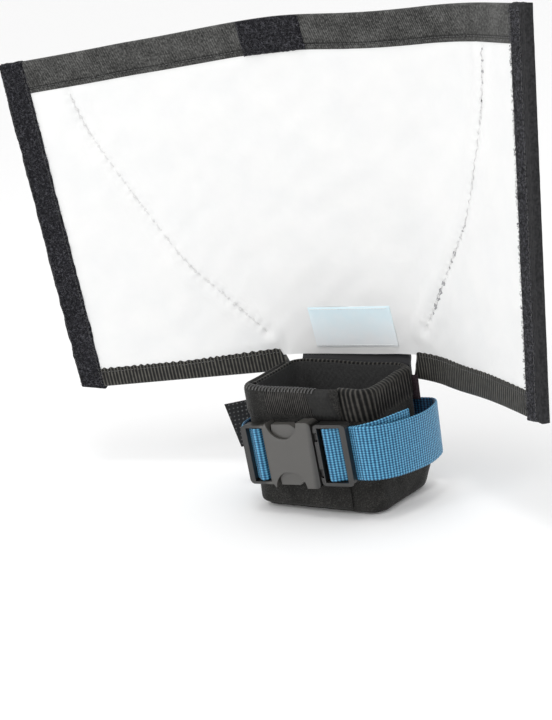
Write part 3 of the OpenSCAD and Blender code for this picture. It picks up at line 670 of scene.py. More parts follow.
def build_fabric():
    """The white front and the black back of both sides, in pieces that each cross one joint."""
    low_edge = {"middle": CENTRE_LOW, "crease": BINDING_LOW + 6, "wing": BINDING_LOW + 6}
    for side_name, side in SIDES.items():
        for part, inner, outer, _ in PARTS:
            u, v = cut_grid(side, inner, outer, at(low_edge[part]), below_top(TOP_BAND - 6))
            for layer, slot, near, far in (
                ("front", "white_nylon", fabric_relief(u, v), -0.55),
                ("back", "black_nylon", PANEL_BACK + 0.55, rear_relief(u, v)),
            ):
                name = f"{side_name}_{part}_{layer}_fabric"
                piece = panel_slab(name, u, v, near, far, slot)
                fold_with(piece, part, side_name)
                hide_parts(*layer_nodes(side_name, part, layer))


def edge_rows(width, edge):
    """Places across a folded binding, 0 at its fold: close together where it rounds over."""
    fine = edge * (1 - np.cos(np.linspace(0, math.pi / 2, 6)))
    middle = np.linspace(edge, width * 0.94, 12)[1:]
    return np.concatenate([fine, middle, [width * 0.97, width * 0.993, width]])


def folded_band(name, side, inner, outer, fold, sewn_edge, cell, material, relief):
    """A tape folded over an edge, from fold(u) to sewn_edge(u): its two faces meet at the fold."""
    half = (BINDING_PROUD * 2 - PANEL_BACK) / 2
    share = edge_rows(1.0, half / 18.0)
    span = float(np.max(outer(100.0) - inner(100.0)))
    a = np.linspace(0, 1, max(4, int(span / cell)))[None, :]
    a = a if side > 0 else 1 - a
    share = share[:, None] + 0 * a
    v = 100.0 + 0 * share
    for _ in range(3):
        u = side * (inner(v) + (outer(v) - inner(v)) * a)
        v = fold(u) + (sewn_edge(u) - fold(u)) * share
    gap, width = abs(v - fold(u)), abs(sewn_edge(u) - fold(u))
    sewn = np.clip((width - gap) / 0.5, 0.25, 1)
    swell = quarter(gap / half) * (half * (0.72 + 0.28 * sewn) + relief(u, v, gap))
    if v[-1, 0] < v[0, 0]:
        u, v, swell = u[::-1], v[::-1], swell[::-1]
    middle = PANEL_BACK / 2
    return panel_slab(name, u, v, middle + swell, middle - swell, material), u, v


def twill_relief(u, v, gap):
    seam = -0.45 * bell(gap, TOP_BAND - 3.0, 0.8)
    return 0.12 * ripple(u, v, 11, 4.4) + 0.05 * ripple(u, v, 3.5, 1.9) + seam + 0.1


def grosgrain_relief(u, v, gap):
    ribs = 0.16 * np.sin(2 * math.pi * u / RIB_PITCH)
    seam = -0.2 * bell(gap, 10.8, 0.6)
    return ribs + 0.12 * ripple(u, v, 9, 6.2) + seam + 0.12


def tape_foot(u):
    """The tape's folded lower edge: it hangs lower beside the wrap on the right."""
    u = np.asarray(u, float)
    return BINDING_LOW - np.where(u > 0, 5.3, 0.0) / (1 + np.exp((u - 107) / 16.0))


def tape_top(u):
    """The tape's sewn upper edge, gathered into small scallops."""
    u = np.asarray(u, float)
    near = unit((115 - abs(u)) / 60)
    straight = BINDING_TOP + np.where(u < 0, 2.4 * near - 1.0, 1.3 - 2.5 / (1 + np.exp((u - 112) / 10)))
    scallops = np.sin(2 * math.pi * u / 5.0 + 1.3 * np.sin(u / 7.3))
    return straight + np.where(u < 0, 0.42, 0.2) * scallops * (1 + 0.4 * np.sin(u / 4.1))


def tape_end(v):
    """The slanting inner end of the tape, beside the wrap."""
    return 43 + 0.35 * np.asarray(v)


def build_bindings():
    """The twill along the top and the ribbed tape along the bottom, folded over the panel's edges."""
    twill = below_top(0), below_top(TOP_BAND), 1.6, "twill_binding", twill_relief
    tape = tape_foot, tape_top, 0.5, "ribbed_binding", grosgrain_relief
    for side_name, side in SIDES.items():
        bands = [("twill", part, inner, outer, twill, "top_binding") for part, inner, outer, _ in PARTS]
        bands += [("ribbed_tape", "crease", tape_end, outer_split, tape, "bottom_binding"),
                  ("ribbed_tape", "wing", outer_split, strip_line, tape, "bottom_binding")]
        for kind, part, inner, outer, make, layer in bands:
            band, u, v = folded_band(f"{side_name}_{part}_{kind}", side, inner, outer, *make)
            fold_with(band, part, side_name)
            nodes = layer_nodes(side_name, part, layer)
            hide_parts(*(node for node in nodes if "inner_bottom" not in node))


def fuzzy_block(name, u0, u1, low, high, front, back, corner=2.0):
    """A hook-and-loop strip: a thick soft slab with a rounded, ragged outline."""
    cell = 0.8
    a = np.linspace(0, 1, int(abs(u1 - u0) / cell))
    b = np.linspace(0, 1, int((high(0.0) - low(0.0)) / cell))
    a, b = np.meshgrid(a, b)
    u = u0 + (u1 - u0) * a
    v = low(u) + (high(u) - low(u)) * b
    from_side = np.minimum(u - u0, u1 - u)
    from_end = np.minimum(v - low(u), high(u) - v)
    edge = np.minimum(from_side, from_end)
    middle, half = (front + back) / 2, (front - back) / 2
    rag = 0.5 * ripple(u, v, 1.7, 2.2) * (edge < 0.3)
    nap = 0.28 * ripple(u, v, 1.4, 5.0) + 0.16 * ripple(u, v, 0.8, 9.0)
    corner_cut = np.clip(corner - (from_side + from_end), 0, corner) * 0.35
    outward = np.sign(u - (u0 + u1) / 2)
    wander = 0.55 * ripple(outward * 40, v, 8.0, 3.4) + 0.3 * ripple(u, v, 4.0, 6.1)
    u = u + rag - outward * corner_cut + wander
    v = v + 0.7 * rag + np.where(v > 110, -1, 1) * corner_cut
    top = middle + (half + nap) * quarter(edge / 1.5)
    under = middle - (half + 0.5 * nap) * quarter(edge / 1.5)
    return panel_slab(name, u, v, top, under, "hook_loop"), u, v


def panel_fibres(name, u0, u1, low, high, h0, count):
    """Small curled fibres standing out of one rectangle of the panel's front, h0 above its face."""
    flat, faces, thin, reach = [], [], 0.09, 1.7
    for _ in range(count):
        a, b, turn = RANDOM.random(), RANDOM.random(), RANDOM.random() * 2 * math.pi
        length, lift = reach * (0.5 + RANDOM.random()), 0.35 + 0.5 * RANDOM.random()
        curl = RANDOM.normal(0, 1.2)
        faces += tube_faces(len(flat), 6, 3)
        for k in range(6):
            t = k / 5
            angle = turn + curl * (t - 0.5)
            ahead = (t - 0.5) * length
            u = u0 + 0.6 + (u1 - u0 - 1.2) * a + ahead * math.cos(angle)
            v = low + 0.6 + (high - low - 1.2) * b + ahead * math.sin(angle)
            h = h0 + lift * math.sin(math.pi * t) - 0.12
            du, dv = -math.sin(angle) * thin, math.cos(angle) * thin
            flat += [(u + du, v + dv, h), (u - du, v - dv, h), (u, v, h + 1.6 * thin)]
    piece = new_piece(name, np.zeros((len(flat), 3)), faces, ["fuzz_fibre"], sharp=80)
    piece.data.vertices.foreach_set("co", (panel_point(*np.array(flat).T) * MM).ravel())
    piece.data.update()
    return piece


def strip_foot(u):
    """The strips' lower ends slope up to their outer corners."""
    return 2.4 + 0.17 * np.clip(abs(np.asarray(u, float)) - STRIP_IN, 0, 20)


def build_strips():
    """The hook-and-loop strips down both edges, with the right one's sewn selvage, and the patch on top."""
    for side_name, side in SIDES.items():
        right, wing = side > 0, f"{side_name}_wing"
        edges = sorted((side * (STRIP_IN - 0.4), side * (HALF_W - (1.2 if right else 0))))
        strip, u, v = fuzzy_block(
            f"{side_name}_edge_strip", *edges, strip_foot, below_top(-0.5), STRIP_PROUD, PANEL_BACK - 0.8)
        dress(strip, wing, [f"{side_name}_strip"])
        limits = sorted((side * (STRIP_IN - 0.9), side * (HALF_W - (5.4 if right else 0.8))))
        top = top_edge(side * HALF_W) - 2
        fibres = panel_fibres(f"{side_name}_strip_fuzz", *limits, 6.0, top, STRIP_PROUD, 2200)
        dress(fibres, wing)
        extra = [fibres, build_selvage()] if right else [fibres]
    left, right, front = -20.5, 22.5, 1.75
    patch, u, v = fuzzy_block(
        "top_fuzzy_patch", left, right, at(PANEL_H - 20.4), below_top(-0.3), front, 0.3, corner=1.0)
    fibres = panel_fibres("top_patch_fuzz", left, right, PANEL_H - 20, PANEL_H - 0.9, front, 620)
    dress(patch, "middle", ["top_loop_patch"])
    dress(fibres, "middle")


def build_selvage():
    """The smooth tape that finishes the right strip, folded round its outer edge."""
    fold = smooth_line([(-5.2, 0.9), (-4.7, 1.3), (-2.9, 1.35), (-0.8, 1.25), (0.25, 0.7), (0.55, -1.2),
                        (0.25, -3.1), (-0.8, -3.6), (-3.4, -3.65), (-7.2, -3.4)], 4)
    across = np.gradient(fold, axis=0)
    across /= np.linalg.norm(across, axis=1)[:, None]
    normal = np.stack([-across[:, 1], across[:, 0]], 1)
    i, v = np.meshgrid(np.arange(len(fold)), np.linspace(5.4, RIGHT_CORNER + 0.1, 170))
    out, up = fold[i, 0], fold[i, 1]
    lift = 0.08 * ripple(out, v, 5, 8.8) - 0.35 * bell(out, -3.4, 0.4) - 0.35 * bell(out, -1.5, 0.4)

    def face(rise):
        return panel_point(HALF_W + out + normal[i, 0] * rise, v, up + normal[i, 1] * rise)

    tape = slab("right_strip_selvage", face(lift), face(-0.55), places(v, HALF_W + i * 0.5), "selvage")
    dress(tape, "right_wing")
    return tape


def build_label():
    """The blank woven patch low in the middle, sewn along its ends."""
    left, right, low, high = LABEL
    u, v = np.meshgrid(np.linspace(left, right, 60), np.linspace(low, high, 34))
    edge = np.minimum(np.minimum(u - left, right - u), np.minimum(v - low, high - v))
    lift = 1.0 + 0.35 * np.sqrt(unit(edge / 1.5)) + 0.2 * ripple(u, v, 16, 2.0)
    label = panel_slab("woven_label", u, v, lift, lift - 0.35, "woven_label")
    dress(label, "middle", ["label"])


def stitches(name, runs, material, thick, hole=None):
    """Thread along lines of (u, v, h) on the panel: an arched stitch each pitch, then a needle hole drawn as
    a grey disc of painted shade.
    """
    points, faces, marks = [], [], []
    for line, pitch, lift in runs:
        even, along = even_line(line, 0.5)

        def spots(s):
            return np.stack([np.interp(s, along, even[:, k]) for k in range(3)], -1)

        for start in np.arange(0.3, along[-1] - pitch * 0.8, pitch):
            thread = spots(start + pitch * np.array([0.06, 0.2, 0.42, 0.64, 0.78]))
            heading = thread[-1, :2] - thread[0, :2]
            heading = heading / (np.linalg.norm(heading) or 1)
            sideways = np.array([-heading[1], heading[0]])
            faces += tube_faces(len(points), 5, 6)
            marks += [0] * 26
            for spot, arch in zip(thread, (-0.35, 0.55, 1.0, 0.55, -0.35)):
                for turn in np.linspace(0, 2 * math.pi, 7)[:-1]:
                    flat = spot[:2] + sideways * thick * math.cos(turn)
                    points.append((*flat, spot[2] + lift * arch + thick * math.sin(turn)))
            # painted shade: a grey disc at each needle hole
            if hole is not None:
                u, v, h = spots(start + pitch * 0.92)
                faces += tube_faces(len(points), 2, 7)
                marks += [1] * 9
                for radius, rise in ((1.2, 0.0), (0.9, 0.16)):
                    for turn in np.linspace(0, 2 * math.pi, 8)[:-1]:
                        points.append((u + radius * math.cos(turn), v + radius * math.sin(turn), h + rise))
    materials = [material] if hole is None else [material, hole]
    return new_piece(name, panel_point(*np.array(points).T), faces, materials, face_materials=marks, sharp=80)


def run_along_u(side, inner, outer, height_of, h):
    """A line at a height that depends on u, between two side lines."""
    near, far = float(inner(height_of(side * 90.0))), float(outer(height_of(side * 90.0)))
    u = side * np.linspace(near + 0.6, far - 0.6, 40)
    return np.stack([u, height_of(u), np.full_like(u, h)], 1)


def arc_within(arc, inner, outer):
    """The stretch of a stitched arc between two side lines, lying on the puckered fabric."""
    line, _ = even_line(arc, 0.8)
    out, up = abs(line[:, 0]), line[:, 1]
    line = line[(out >= inner(up)) & (out < outer(up)) & (up < 196)]
    return np.column_stack([line, fabric_relief(*line.T) + 0.2]) if len(line) > 8 else None


def build_stitching():
    """White thread along the arcs and dark thread along the bindings, strips and label."""
    for side_name, side in SIDES.items():
        for part, inner, outer, _ in PARTS:
            arc = arc_within(ARCS[side_name], inner, outer)
            if arc is not None:
                name = f"{side_name}_{part}_white_thread"
                thread = stitches(name, [(arc, STITCH, 0.3)], "white_thread", 0.26, "needle_hole_painted_shade")
                fold_with(thread, part, side_name)
            runs = [(run_along_u(side, inner, outer, below_top(TOP_BAND - 3.0), 0.42), 2.6, 0.2)]
            if part != "middle":
                first = inner if part == "wing" else (lambda v: 50 + 0 * v)
                runs.append((run_along_u(side, first, outer, lambda u: tape_top(u) - 2.3, 0.5), 2.4, 0.2))
            thread = stitches(f"{side_name}_{part}_dark_thread", runs, "dark_thread", 0.2)
            fold_with(thread, part, side_name)
        height = np.linspace(7, RIGHT_CORNER - 3, 60)
        runs = []
        for gap in (1.6, 16.2) if side < 0 else (1.6, 11.6):
            u = np.full_like(height, side * (STRIP_IN + gap))
            runs.append((np.stack([u, height, np.full_like(u, 1.05)], 1), 2.8, 0.2))
        thread = stitches(f"{side_name}_strip_thread", runs, "dark_thread", 0.2)
        dress(thread, f"{side_name}_wing")
    left, right, low, high = LABEL
    across = np.linspace(left + 1, right - 1, 40)
    rows = [np.stack([across, 0 * across + v, 0 * across + 1.3], 1) for v in (low + 1.2, high - 1.2)]
    thread = stitches("label_thread", [(row, 2.2, 0.16) for row in rows], "white_thread", 0.18)
    dress(thread, "middle")


def build_foot():
    """The cloth that joins the panel to the wrap: it clothes the rear tab and bends up into the panel."""
    heights = np.concatenate([np.linspace(57.5, 74, 12), np.linspace(75, 82, 12)])
    x, z = np.meshgrid(np.linspace(-38, 38, 56), heights)
    up_panel = np.maximum((z - PANEL_FOOT[2] - x * ACROSS[2]) / UP[2], 0)
    rise = unit((z - 72.5) / 5.5)
    rise = (rise * rise * (3 - 2 * rise))[..., None]

    def face(y, h):
        """From the tab, at y, up to the panel, at h from its face."""
        above = panel_point(x, up_panel, h)
        above[..., 0], above[..., 2] = x, z
        return np.stack([x, y + 0 * x, z], -1) * (1 - rise) + above * rise

    front, rear = face(28.75, -0.75), face(31.1 + 0.15 * ripple(x, z, 9, 4.0), PANEL_BACK - 0.35)
    piece = slab("panel_foot_cloth", front, rear, places(x, z - PANEL_FOOT[2]), "black_nylon")
    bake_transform(piece)
    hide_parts("panel_tab")


# -------------------------------------------------------------------- the wrap
def ring_path(x, y, r, gap=1.0):
    """A closed rounded rectangle from the middle of its back, round by the left: points, normals, lengths."""
    a, b = x - r, y - r
    points = [(0.0, y)]
    for cx, cy, start in ((-a, b, 90), (-a, -b, 180), (a, -b, 270), (a, b, 0)):
        for k in range(9):
            turn = math.radians(start + 90 * k / 8)
            points.append((cx + r * math.cos(turn), cy + r * math.sin(turn)))
    points.append((0.0, y))
    line, along = even_line(points, gap)
    line, along = line[:-1], along[:-1]
    tangent = np.roll(line, -1, 0) - np.roll(line, 1, 0)
    tangent /= np.linalg.norm(tangent, axis=1)[:, None]
    normal = np.stack([tangent[:, 1], -tangent[:, 0]], 1)
    return line, normal, along


def open_path(stations, gap):
    """An open line through the stations, with its normals to the outside and lengths."""
    line, along = even_line(smooth_line(stations, 10), gap)
    tangent = np.gradient(line, axis=0)
    tangent /= np.linalg.norm(tangent, axis=1)[:, None]
    return line, np.stack([tangent[:, 1], -tangent[:, 0]], 1), along


def settle(x, y, z):
    """How far the soft wrap's top sags or rises at each place."""
    return 1.3 * ripple(x, y, 24, 1.7) * unit((z - 42) / 28)


def wall(name, path, heights, outer, inner, material, closed, pick=None):
    """A padded wall along a path: outer(s, z) and inner(s, z) are its two faces' distances from the path."""
    line, normal, along = path
    s, z = np.meshgrid(along, heights)
    out, into = outer(s, z), inner(s, z)
    z = z + settle(line[None, :, 0] + 0 * z, line[None, :, 1] + 0 * z, z)

    def face(offset):
        return np.concatenate([line[None] + normal[None] * offset[..., None], z[..., None]], -1)

    if not closed:
        return slab(name, face(out), face(into), places(s, z), material, pick)
    rows, columns = s.shape
    count, top = rows * columns, (rows - 1) * columns
    faces = two_skins(rows, columns, True)
    for i in range(columns):
        n = (i + 1) % columns
        faces += [(i, count + i, count + n, n), (top + i, top + n, count + top + n, count + top + i)]
    points = np.concatenate([face(out).reshape(-1, 3), face(into).reshape(-1, 3)])
    flat = np.concatenate([places(s, z).reshape(-1, 2)] * 2)
    return new_piece(name, points, faces, [material], flat)


def rounded_profile(z, low, high, edge):
    """1 in the middle of a height range, falling on a quarter circle to 0 at its ends."""
    return quarter(np.minimum(z - low, high - z) / edge)


def fine_heights(low, high, edge, gap):
    """Heights with extra rows at both ends, where a pad rounds over."""
    curl = edge * (1 - np.cos(np.linspace(0, math.pi / 2, 6)))
    return np.concatenate([low + curl, np.arange(low + edge + gap, high - edge, gap), high - curl[::-1]])


def build_wrap():
    """The padded ring round the flash head, its rubbery lining and its edge binding."""
    corner = 7.0
    ring = ring_path(HEAD_X, HEAD_Y, corner)

    def flare(s, z):
        """The loose corner at the right rear, below the belt."""
        turn = 1 - np.cos(np.radians(unit(z / 30) * 180 + 50))
        return 3.6 * bell(s, ring[2][-1] - 42, 20) * unit((31 - z) / 14) * turn

    def cover_out(s, z):
        dents = 0.6 * ripple(s, z, 17, 5.5) + 0.25 * ripple(s, z, 6, 2.5)
        body = rounded_profile(z, COVER_LOW, COVER_TOP, 3.2) * (2.6 - 0.7 * bell(z, 38, 13) + dents)
        return 1.2 + body + flare(s, z)

    def cover_in(s, z):
        return 0.05 + 0.5 * flare(s, z)

    heights = fine_heights(COVER_LOW, COVER_TOP, 3.0, 1.6)
    cover = wall("wrap_cover_pad", ring, heights, cover_out, cover_in, "wrap_cloth", True)
    dress(cover, "wrap", ["wrap_cover", "foam_core"])

    def lining_in(s, z):
        turns = 2 * math.pi / GRIP_PITCH
        return -0.55 - 0.3 * np.maximum(np.sin(turns * s) * np.sin(turns * z), 0)

    lining = wall("grip_lining_sheet", ring_path(HEAD_X, HEAD_Y, corner, 0.9), np.linspace(5.2, 73.8, 78),
                  lambda s, z: -0.12 + 0 * s, lining_in, "grip_rubber", True)
    dress(lining, "wrap", ["grip_lining"])

    def bound_out(s, z):
        return 0.6 + 2.9 * rounded_profile(z, 0.0, RIM_TOP, 2.6) + 0.15 * ripple(s, z, 7, 9.0) + flare(s, z)

    def bound_in(s, z):
        return 0.2 - 0.9 * rounded_profile(z, 0.0, RIM_TOP, 2.0)

    rim = wall("lower_rim_tape", ring_path(HEAD_X, HEAD_Y, corner, 0.5), fine_heights(0.0, RIM_TOP, 2.0, 0.8),
               bound_out, bound_in, "wrap_cloth", True)
    dress(rim, "wrap", ["lower_binding"])


def build_upper_band():
    """The wide-ribbed elastic band round the top of the right side, the back and the left side."""
    line, normal, along = ring_path(HEAD_X + 3, HEAD_Y + 3, 10.0, 0.3)
    front_left = (line[:, 1] < -23) & (line[:, 0] < 22)
    start = int(np.argmax(front_left))
    stop = len(line) - int(np.argmax(front_left[::-1]))
    order = np.concatenate([np.arange(stop, len(line)), np.arange(0, start)])
    path = line[order], normal[order], np.arange(len(order)) * (along[1] - along[0])

    def out(s, z):
        body = rounded_profile(z, BAND_LOW, BAND_TOP, 2.4)
        between = unit((z - 57.5) / 2) * unit((74.2 - z) / 2)
        ribs = 0.5 * np.abs(np.sin(math.pi * s / BAND_PITCH)) ** 0.8 * between
        loops = 0.35 * np.abs(np.sin(math.pi * s / 3.1)) * bell(z, 56.6, 1.0)
        return -2.1 + body * 2.9 + ribs + loops + 0.25 * ripple(s, z, 15, 8.1)

    def into(s, z):
        return -2.7 - 0.6 * rounded_profile(z, BAND_LOW, BAND_TOP, 2.4)

    heights = fine_heights(BAND_LOW, BAND_TOP, 2.4, 1.0)
    band = wall("upper_ribbed_band", path, heights, out, into, "wide_elastic", False)
    dress(band, "wrap", ["wrap_band"])


FLAP_STATIONS = [(-42.2, 17), (-42.5, 8), (-42.7, -6), (-42.6, -17), (-41.0, -25.5), (-35.5, -29.9),
                 (-27, -30.7), (-10, -30.8), (8, -30.8), (18, -30.7), (25, -30.4)]


def build_flap():
    """The padded end of the wrap: it comes round the left corner and lies across the front."""
    path = open_path(FLAP_STATIONS, 1.0)
    length = path[2][-1]

    def ends(s):
        return unit((length - s) / 2.2) ** 0.5 * unit(s / 9) ** 0.6

    def pad(s, z):
        return rounded_profile(z, FLAP_LOW, FLAP_TOP, 3.0) * ends(s)

    def pad_out(s, z):
        plump = 0.5 * ripple(s, z, 14, 3.3) + 0.2 * ripple(s, z, 5, 4.3)
        return pad(s, z) * (1.5 + plump - 0.5 * bell(z, BELT_Z, 15))

    flap = wall("front_flap_pad", path, fine_heights(FLAP_LOW, FLAP_TOP, 3.0, 1.6), pad_out,
                lambda s, z: -1.5 * pad(s, z), "wrap_cloth", False)
    dress(flap, "wrap", ["front_flap", "flap_fastener"])

    step = 0.3
    fine = open_path(FLAP_STATIONS, step)
    ribbed_from, ribbed_to = fine[2][-1] - 50.0, fine[2][-1] - 17.5
    keeper_w = 15.5

    def keeper(z):
        """The slanting left edge of the cloth keeper that hangs over the roll."""
        return ribbed_to - 3.5 + 0.32 * (73.0 - z)

    def raised(s, z):
        """The ribs, the keeper and the seam with its stitches."""
        where = unit((s - ribbed_from) / 3) * unit((ribbed_to - s) / 1.5)
        height = unit((z - 59.5) / 2) * unit((73.5 - z) / 3)
        ribs = 0.2 * np.sin(2 * math.pi * (s + 0.16 * z) / ROLL_PITCH) * where * height
        from_left = s - keeper(z)
        block = 1.5 * unit(from_left / 0.7) * unit((keeper_w - from_left) / 0.7) * unit((74.2 - z) / 1.2)
        bumps = 0.25 * np.sin(2 * math.pi * s / 2.4) * bell(z, 59.8, 0.8)
        return ribs + block + bumps - 0.5 * bell(z, 59.3, 0.7)

    def roll(s, z):
        return rounded_profile(z, ROLL_LOW, ROLL_TOP, 4.2) * ends(s)

    def roll_out(s, z):
        rumple = 0.6 * ripple(s, z, 11, 6.6) + 0.2 * ripple(s, z, 4, 2.6)
        return roll(s, z) * (1.9 + 0.9 * bell(s, 46, 13) + rumple + raised(s, z))

    def finish(s, z, _):
        ribbed = (s > ribbed_from) & (s < keeper(z)) & (z > 59.5)
        return np.where((s > keeper(z)) & (s < keeper(z) + keeper_w), 2, ribbed)

    band = wall("flap_top_roll", fine, fine_heights(ROLL_LOW, ROLL_TOP, 4.2, 0.8), roll_out,
                lambda s, z: -1.5 * roll(s, z), ["wrap_cloth", "fine_elastic", "keeper_cloth"], False, finish)
    dress(band, "wrap", ["flap_band"])
    places_along = [int(np.clip((ribbed_from - 12 + k * 2.3) / step, 0, len(fine[0]) - 1)) for k in range(21)]
    build_whip([(fine[0][i], fine[1][i]) for i in places_along])


def build_whip(spots):
    """Slanting overcast stitches over the flap's top edge."""
    points, faces, rings, sides, thick = [], [], 7, 5, (0.3, 0.42)
    for spot, normal in spots:
        faces += tube_faces(len(points), rings, sides)
        sag = float(settle(spot[0], spot[1], 74.0))
        for k in range(rings):
            turn = math.radians(10 + 135 * k / 6)
            lean = 1.2 * (k / 6 - 0.5)
            for m in range(sides):
                grow = thick[0] * math.cos(2 * math.pi * m / sides)
                side = lean + thick[1] * math.sin(2 * math.pi * m / sides)
                out, up = (2.5 + grow) * math.cos(turn), 73.4 + (2.7 + grow) * math.sin(turn)
                points.append((spot[0] + normal[0] * out - normal[1] * side,
                               spot[1] + normal[1] * out + normal[0] * side, up + sag))
    thread = new_piece("flap_overcast_thread", points, faces, ["dark_thread"], sharp=80)
    dress(thread, "wrap")


def build_rear():
    """A small folded end of the band, the belt tunnel behind, and the short dotted tab at the left."""
    left, right, low, high, y = 39.5, 45.5, 53.5, 68.5, 24.9
    x, z = np.meshgrid(np.linspace(left, right, 16), np.linspace(low, high, 30))
    gap = np.minimum(np.minimum(x - left, right - x), np.minimum(z - low, high - z))
    swell = np.sqrt(unit(gap / 1.3)) * (1.1 + 0.2 * ripple(x, z, 3, 2.0))
    front, rear = np.stack([x, y - swell, z], -1), np.stack([x, y + swell, z], -1)
    dress(slab("band_folded_end", front, rear, places(x, z), "folded_end"), "wrap")

    low, high = 17.6, 56.4
    x, z = np.meshgrid(np.linspace(-31, 31, 60), np.linspace(low, high, 40))
    swell = quarter(np.minimum(z - low, high - z) / 2.5)
    rear = np.stack([x, 28.4 + (5.2 + 0.25 * ripple(x, z, 10, 3.0)) * swell, z], -1)
    front = np.stack([x, 28.3 + 4.2 * swell, z], -1)
    tunnel = slab("belt_tunnel_cloth", rear[:, ::-1], front[:, ::-1], places(x, z)[:, ::-1], "wrap_cloth")
    dress(tunnel, "wrap", ["belt_tunnel"])

    tab_h, turn = 29.0, math.radians(30)
    a, b = np.meshgrid(np.linspace(0, 1, 46), np.linspace(0, 1, 50))
    wide = 25.0 + 7.0 * b
    out, height = wide * a, tab_h * (b - 0.5)
    edge = np.minimum(np.minimum(out, wide - out), tab_h / 2 - abs(height))
    hooks = np.maximum(np.sin(2 * math.pi * out / HOOK_PITCH) * np.sin(2 * math.pi * height / HOOK_PITCH), 0)
    thick = 0.35 + 0.25 * unit(edge) + 0.3 * hooks * (edge > 1.2)
    along = np.array([-math.cos(turn), -math.sin(turn), -0.1])
    facing = np.array([math.sin(turn), -math.cos(turn), 0])
    root = np.array([-47.0, 8.0, 43.3])
    flat = root + out[..., None] * along + height[..., None] * np.array([0.02, 0, 1.0])
    middle = flat + (0.6 + 0.35 * ripple(out, height, 14, 1.0))[..., None] * facing
    front, back = middle + thick[..., None] * facing, middle - 0.5 * facing
    tab = slab("rear_hook_tab", front[:, ::-1], back[:, ::-1], places(out, height)[:, ::-1], "hook_tab")
    dress(tab, "wrap", ["pull_tab"])


# -------------------------------------------------------------------- the belt
BUCKLE_BACK, BUCKLE_T = 33.6, 9.0
BUCKLE_FRONT, BUCKLE_MID = BUCKLE_BACK + BUCKLE_T, BUCKLE_BACK + BUCKLE_T / 2
TURN_BAR_R, TURN_BAR_Y = 1.6, BUCKLE_MID + 0.4
SOCKET_BAR_X, PLUG_BAR_X = -28.8, 20.6
WEB_BEHIND = BUCKLE_FRONT - 1 - 3.6 - WEB_T / 2 - 0.2
TAIL_BEHIND = WEB_BEHIND - WEB_T - 0.15
REAR_Z, BELT_REAR_Y = 37.0, 30.8


def on_buckle(x, y):
    return [x * math.cos(BUCKLE_SLOPE), -y, BELT_Z + x * math.sin(BUCKLE_SLOPE), math.degrees(BUCKLE_SLOPE)]


def round_bar(x, start, stop):
    r = TURN_BAR_R + WEB_T / 2 + 0.15
    turns = [math.radians(start + (stop - start) * k / 4) for k in range(5)]
    return [on_buckle(x + r * math.cos(a), TURN_BAR_Y + r * math.sin(a)) for a in turns]


PLUG_ROUTE = round_bar(PLUG_BAR_X, 165, 50) + [
    on_buckle(26.5, WEB_BEHIND + 1.6), on_buckle(30, WEB_BEHIND + 0.2), on_buckle(35, WEB_BEHIND),
    [42, -39.4, 41.8, 3], [50, -36.4, 41.8, 2], [56, -25, 40.5, 1], [59.5, -8, 39, 0],
    [60, 6, 38, 0], [58, 20, 38, 0], [51, 30, REAR_Z, 0], [42, BELT_REAR_Y - 0.8, REAR_Z, 0],
    [34, BELT_REAR_Y, REAR_Z, 0], [20, BELT_REAR_Y, REAR_Z, 0], [3, BELT_REAR_Y, REAR_Z, 0],
]
TAIL_ROUTE = round_bar(PLUG_BAR_X, 195, 270) + [
    on_buckle(26, TAIL_BEHIND + 0.4), on_buckle(31, TAIL_BEHIND), on_buckle(36, TAIL_BEHIND),
    [44, -36.2, 42.8, 3], [50, -30, 43.6, 2], [54.2, -19, 44, 1], [56.2, -8, 43.5, 0],
]
SOCKET_ROUTE = [
    [-1, BELT_REAR_Y, REAR_Z, 0], [-20, BELT_REAR_Y, REAR_Z, 0], [-32, BELT_REAR_Y, REAR_Z, 0],
    [-41, 28, 37.5, 0], [-45, 17, 37, 0], [-45.4, 0, 36.6, 0], [-45.4, -17, 36.4, 1],
    [-44.6, -28, 36.2, 2.5], on_buckle(-40.8, WEB_BEHIND - 1.2), on_buckle(-36, WEB_BEHIND),
    on_buckle(-33, WEB_BEHIND + 1),
] + round_bar(SOCKET_BAR_X, 130, 0)


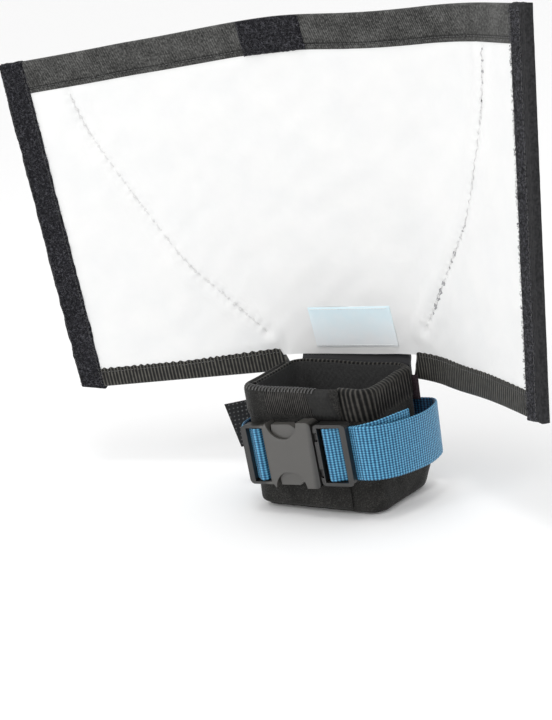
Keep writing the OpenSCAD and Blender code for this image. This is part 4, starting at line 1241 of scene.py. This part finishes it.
def webbing(name, route, width):
    """A woven strap on edge along a route of [x, y, z, lean] stations, with rounded, knobbly selvages."""
    line, along = even_line(smooth_line(route, 6), 0.7)
    lean = np.radians(line[:, 3])
    upright = np.stack([-np.sin(lean), np.zeros_like(lean), np.cos(lean)], 1)
    heading = np.gradient(line[:, :3], axis=0)
    side = np.cross(upright, heading)
    side /= np.linalg.norm(side, axis=1)[:, None]
    close = np.array([0.955, 0.985, 1])
    across = np.concatenate([-close[::-1], np.linspace(-0.92, 0.92, 38), close]) * width / 2
    s, t = np.meshgrid(along, across)
    edge = unit((width / 2 - np.abs(t)) / 0.8)
    crown = np.sqrt(np.clip(1 - (1 - edge) ** 2, 0.02, 1))
    weave = 0.09 * np.sin(math.pi * s / WEB_PITCH) * np.sin(math.pi * t / WEB_ROW)
    selvage = 0.12 * np.sin(2 * math.pi * s / WEB_PITCH) * (edge < 0.9)
    middle = line[None, :, :3] + upright[None] * (t + np.sign(t) * selvage)[..., None]
    swell = side[None] * (WEB_T / 2 * crown + weave)[..., None]

    # painted shade: the strap's inner face takes the darker copy of the webbing
    def inside(x, y, layer):
        return layer == 0

    finishes = ["belt_webbing", "belt_inside_painted_shade"]
    return slab(name, middle + swell, middle - swell, places(s, t), finishes, inside), s, t


def build_belt():
    for name, route, width, body, node, beside in (
        ("belt_loop_right", PLUG_ROUTE, WEB_W, "plug", "plug_belt", "plug"),
        ("belt_free_end", TAIL_ROUTE, WEB_W - 0.6, "plug", "belt_tail", "plug"),
        ("belt_left", SOCKET_ROUTE, WEB_W, "wrap", "socket_belt", "socket"),
    ):
        strap, s, t = webbing(name, route, width)
        dress(strap, body, [node])


def soften(node, width):
    """Rounds a moulded CAD node's edges, without changing its own mesh."""
    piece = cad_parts[node]
    weld = piece.modifiers.new("weld", "WELD")
    weld.merge_threshold = 1e-5
    bevel = piece.modifiers.new("bevel", "BEVEL")
    bevel.width = width * MM
    bevel.segments = 3
    bevel.limit_method = "ANGLE"
    bevel.angle_limit = math.radians(35)
    bevel.harden_normals = False
    for polygon in piece.data.polygons:
        polygon.use_smooth = True
    smooth = piece.modifiers.new("normals", "WEIGHTED_NORMAL")
    smooth.keep_sharp = False


def finish_cad():
    """Finishes for the CAD nodes that stay."""
    finishes = {"liner": "stiffener", "rod": "rod_metal", "sleeve": "sleeve_cloth"}
    for name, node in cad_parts.items():
        if not node.hide_render:
            node.data.materials.clear()
            node.data.materials.append(LOOK[finishes.get(name.split("_")[-1], "buckle_plastic")])
    for name, width in (("socket", 0.8), ("plug", 0.9), ("upper_arm", 0.7), ("lower_arm", 0.7)):
        soften(name, width)


make_looks()
make_camera()
make_studio()
for build in (build_fabric, build_bindings, build_strips, build_label, build_stitching, build_wrap,
              build_upper_band, build_flap, build_rear, build_foot, build_belt, finish_cad):
    build()
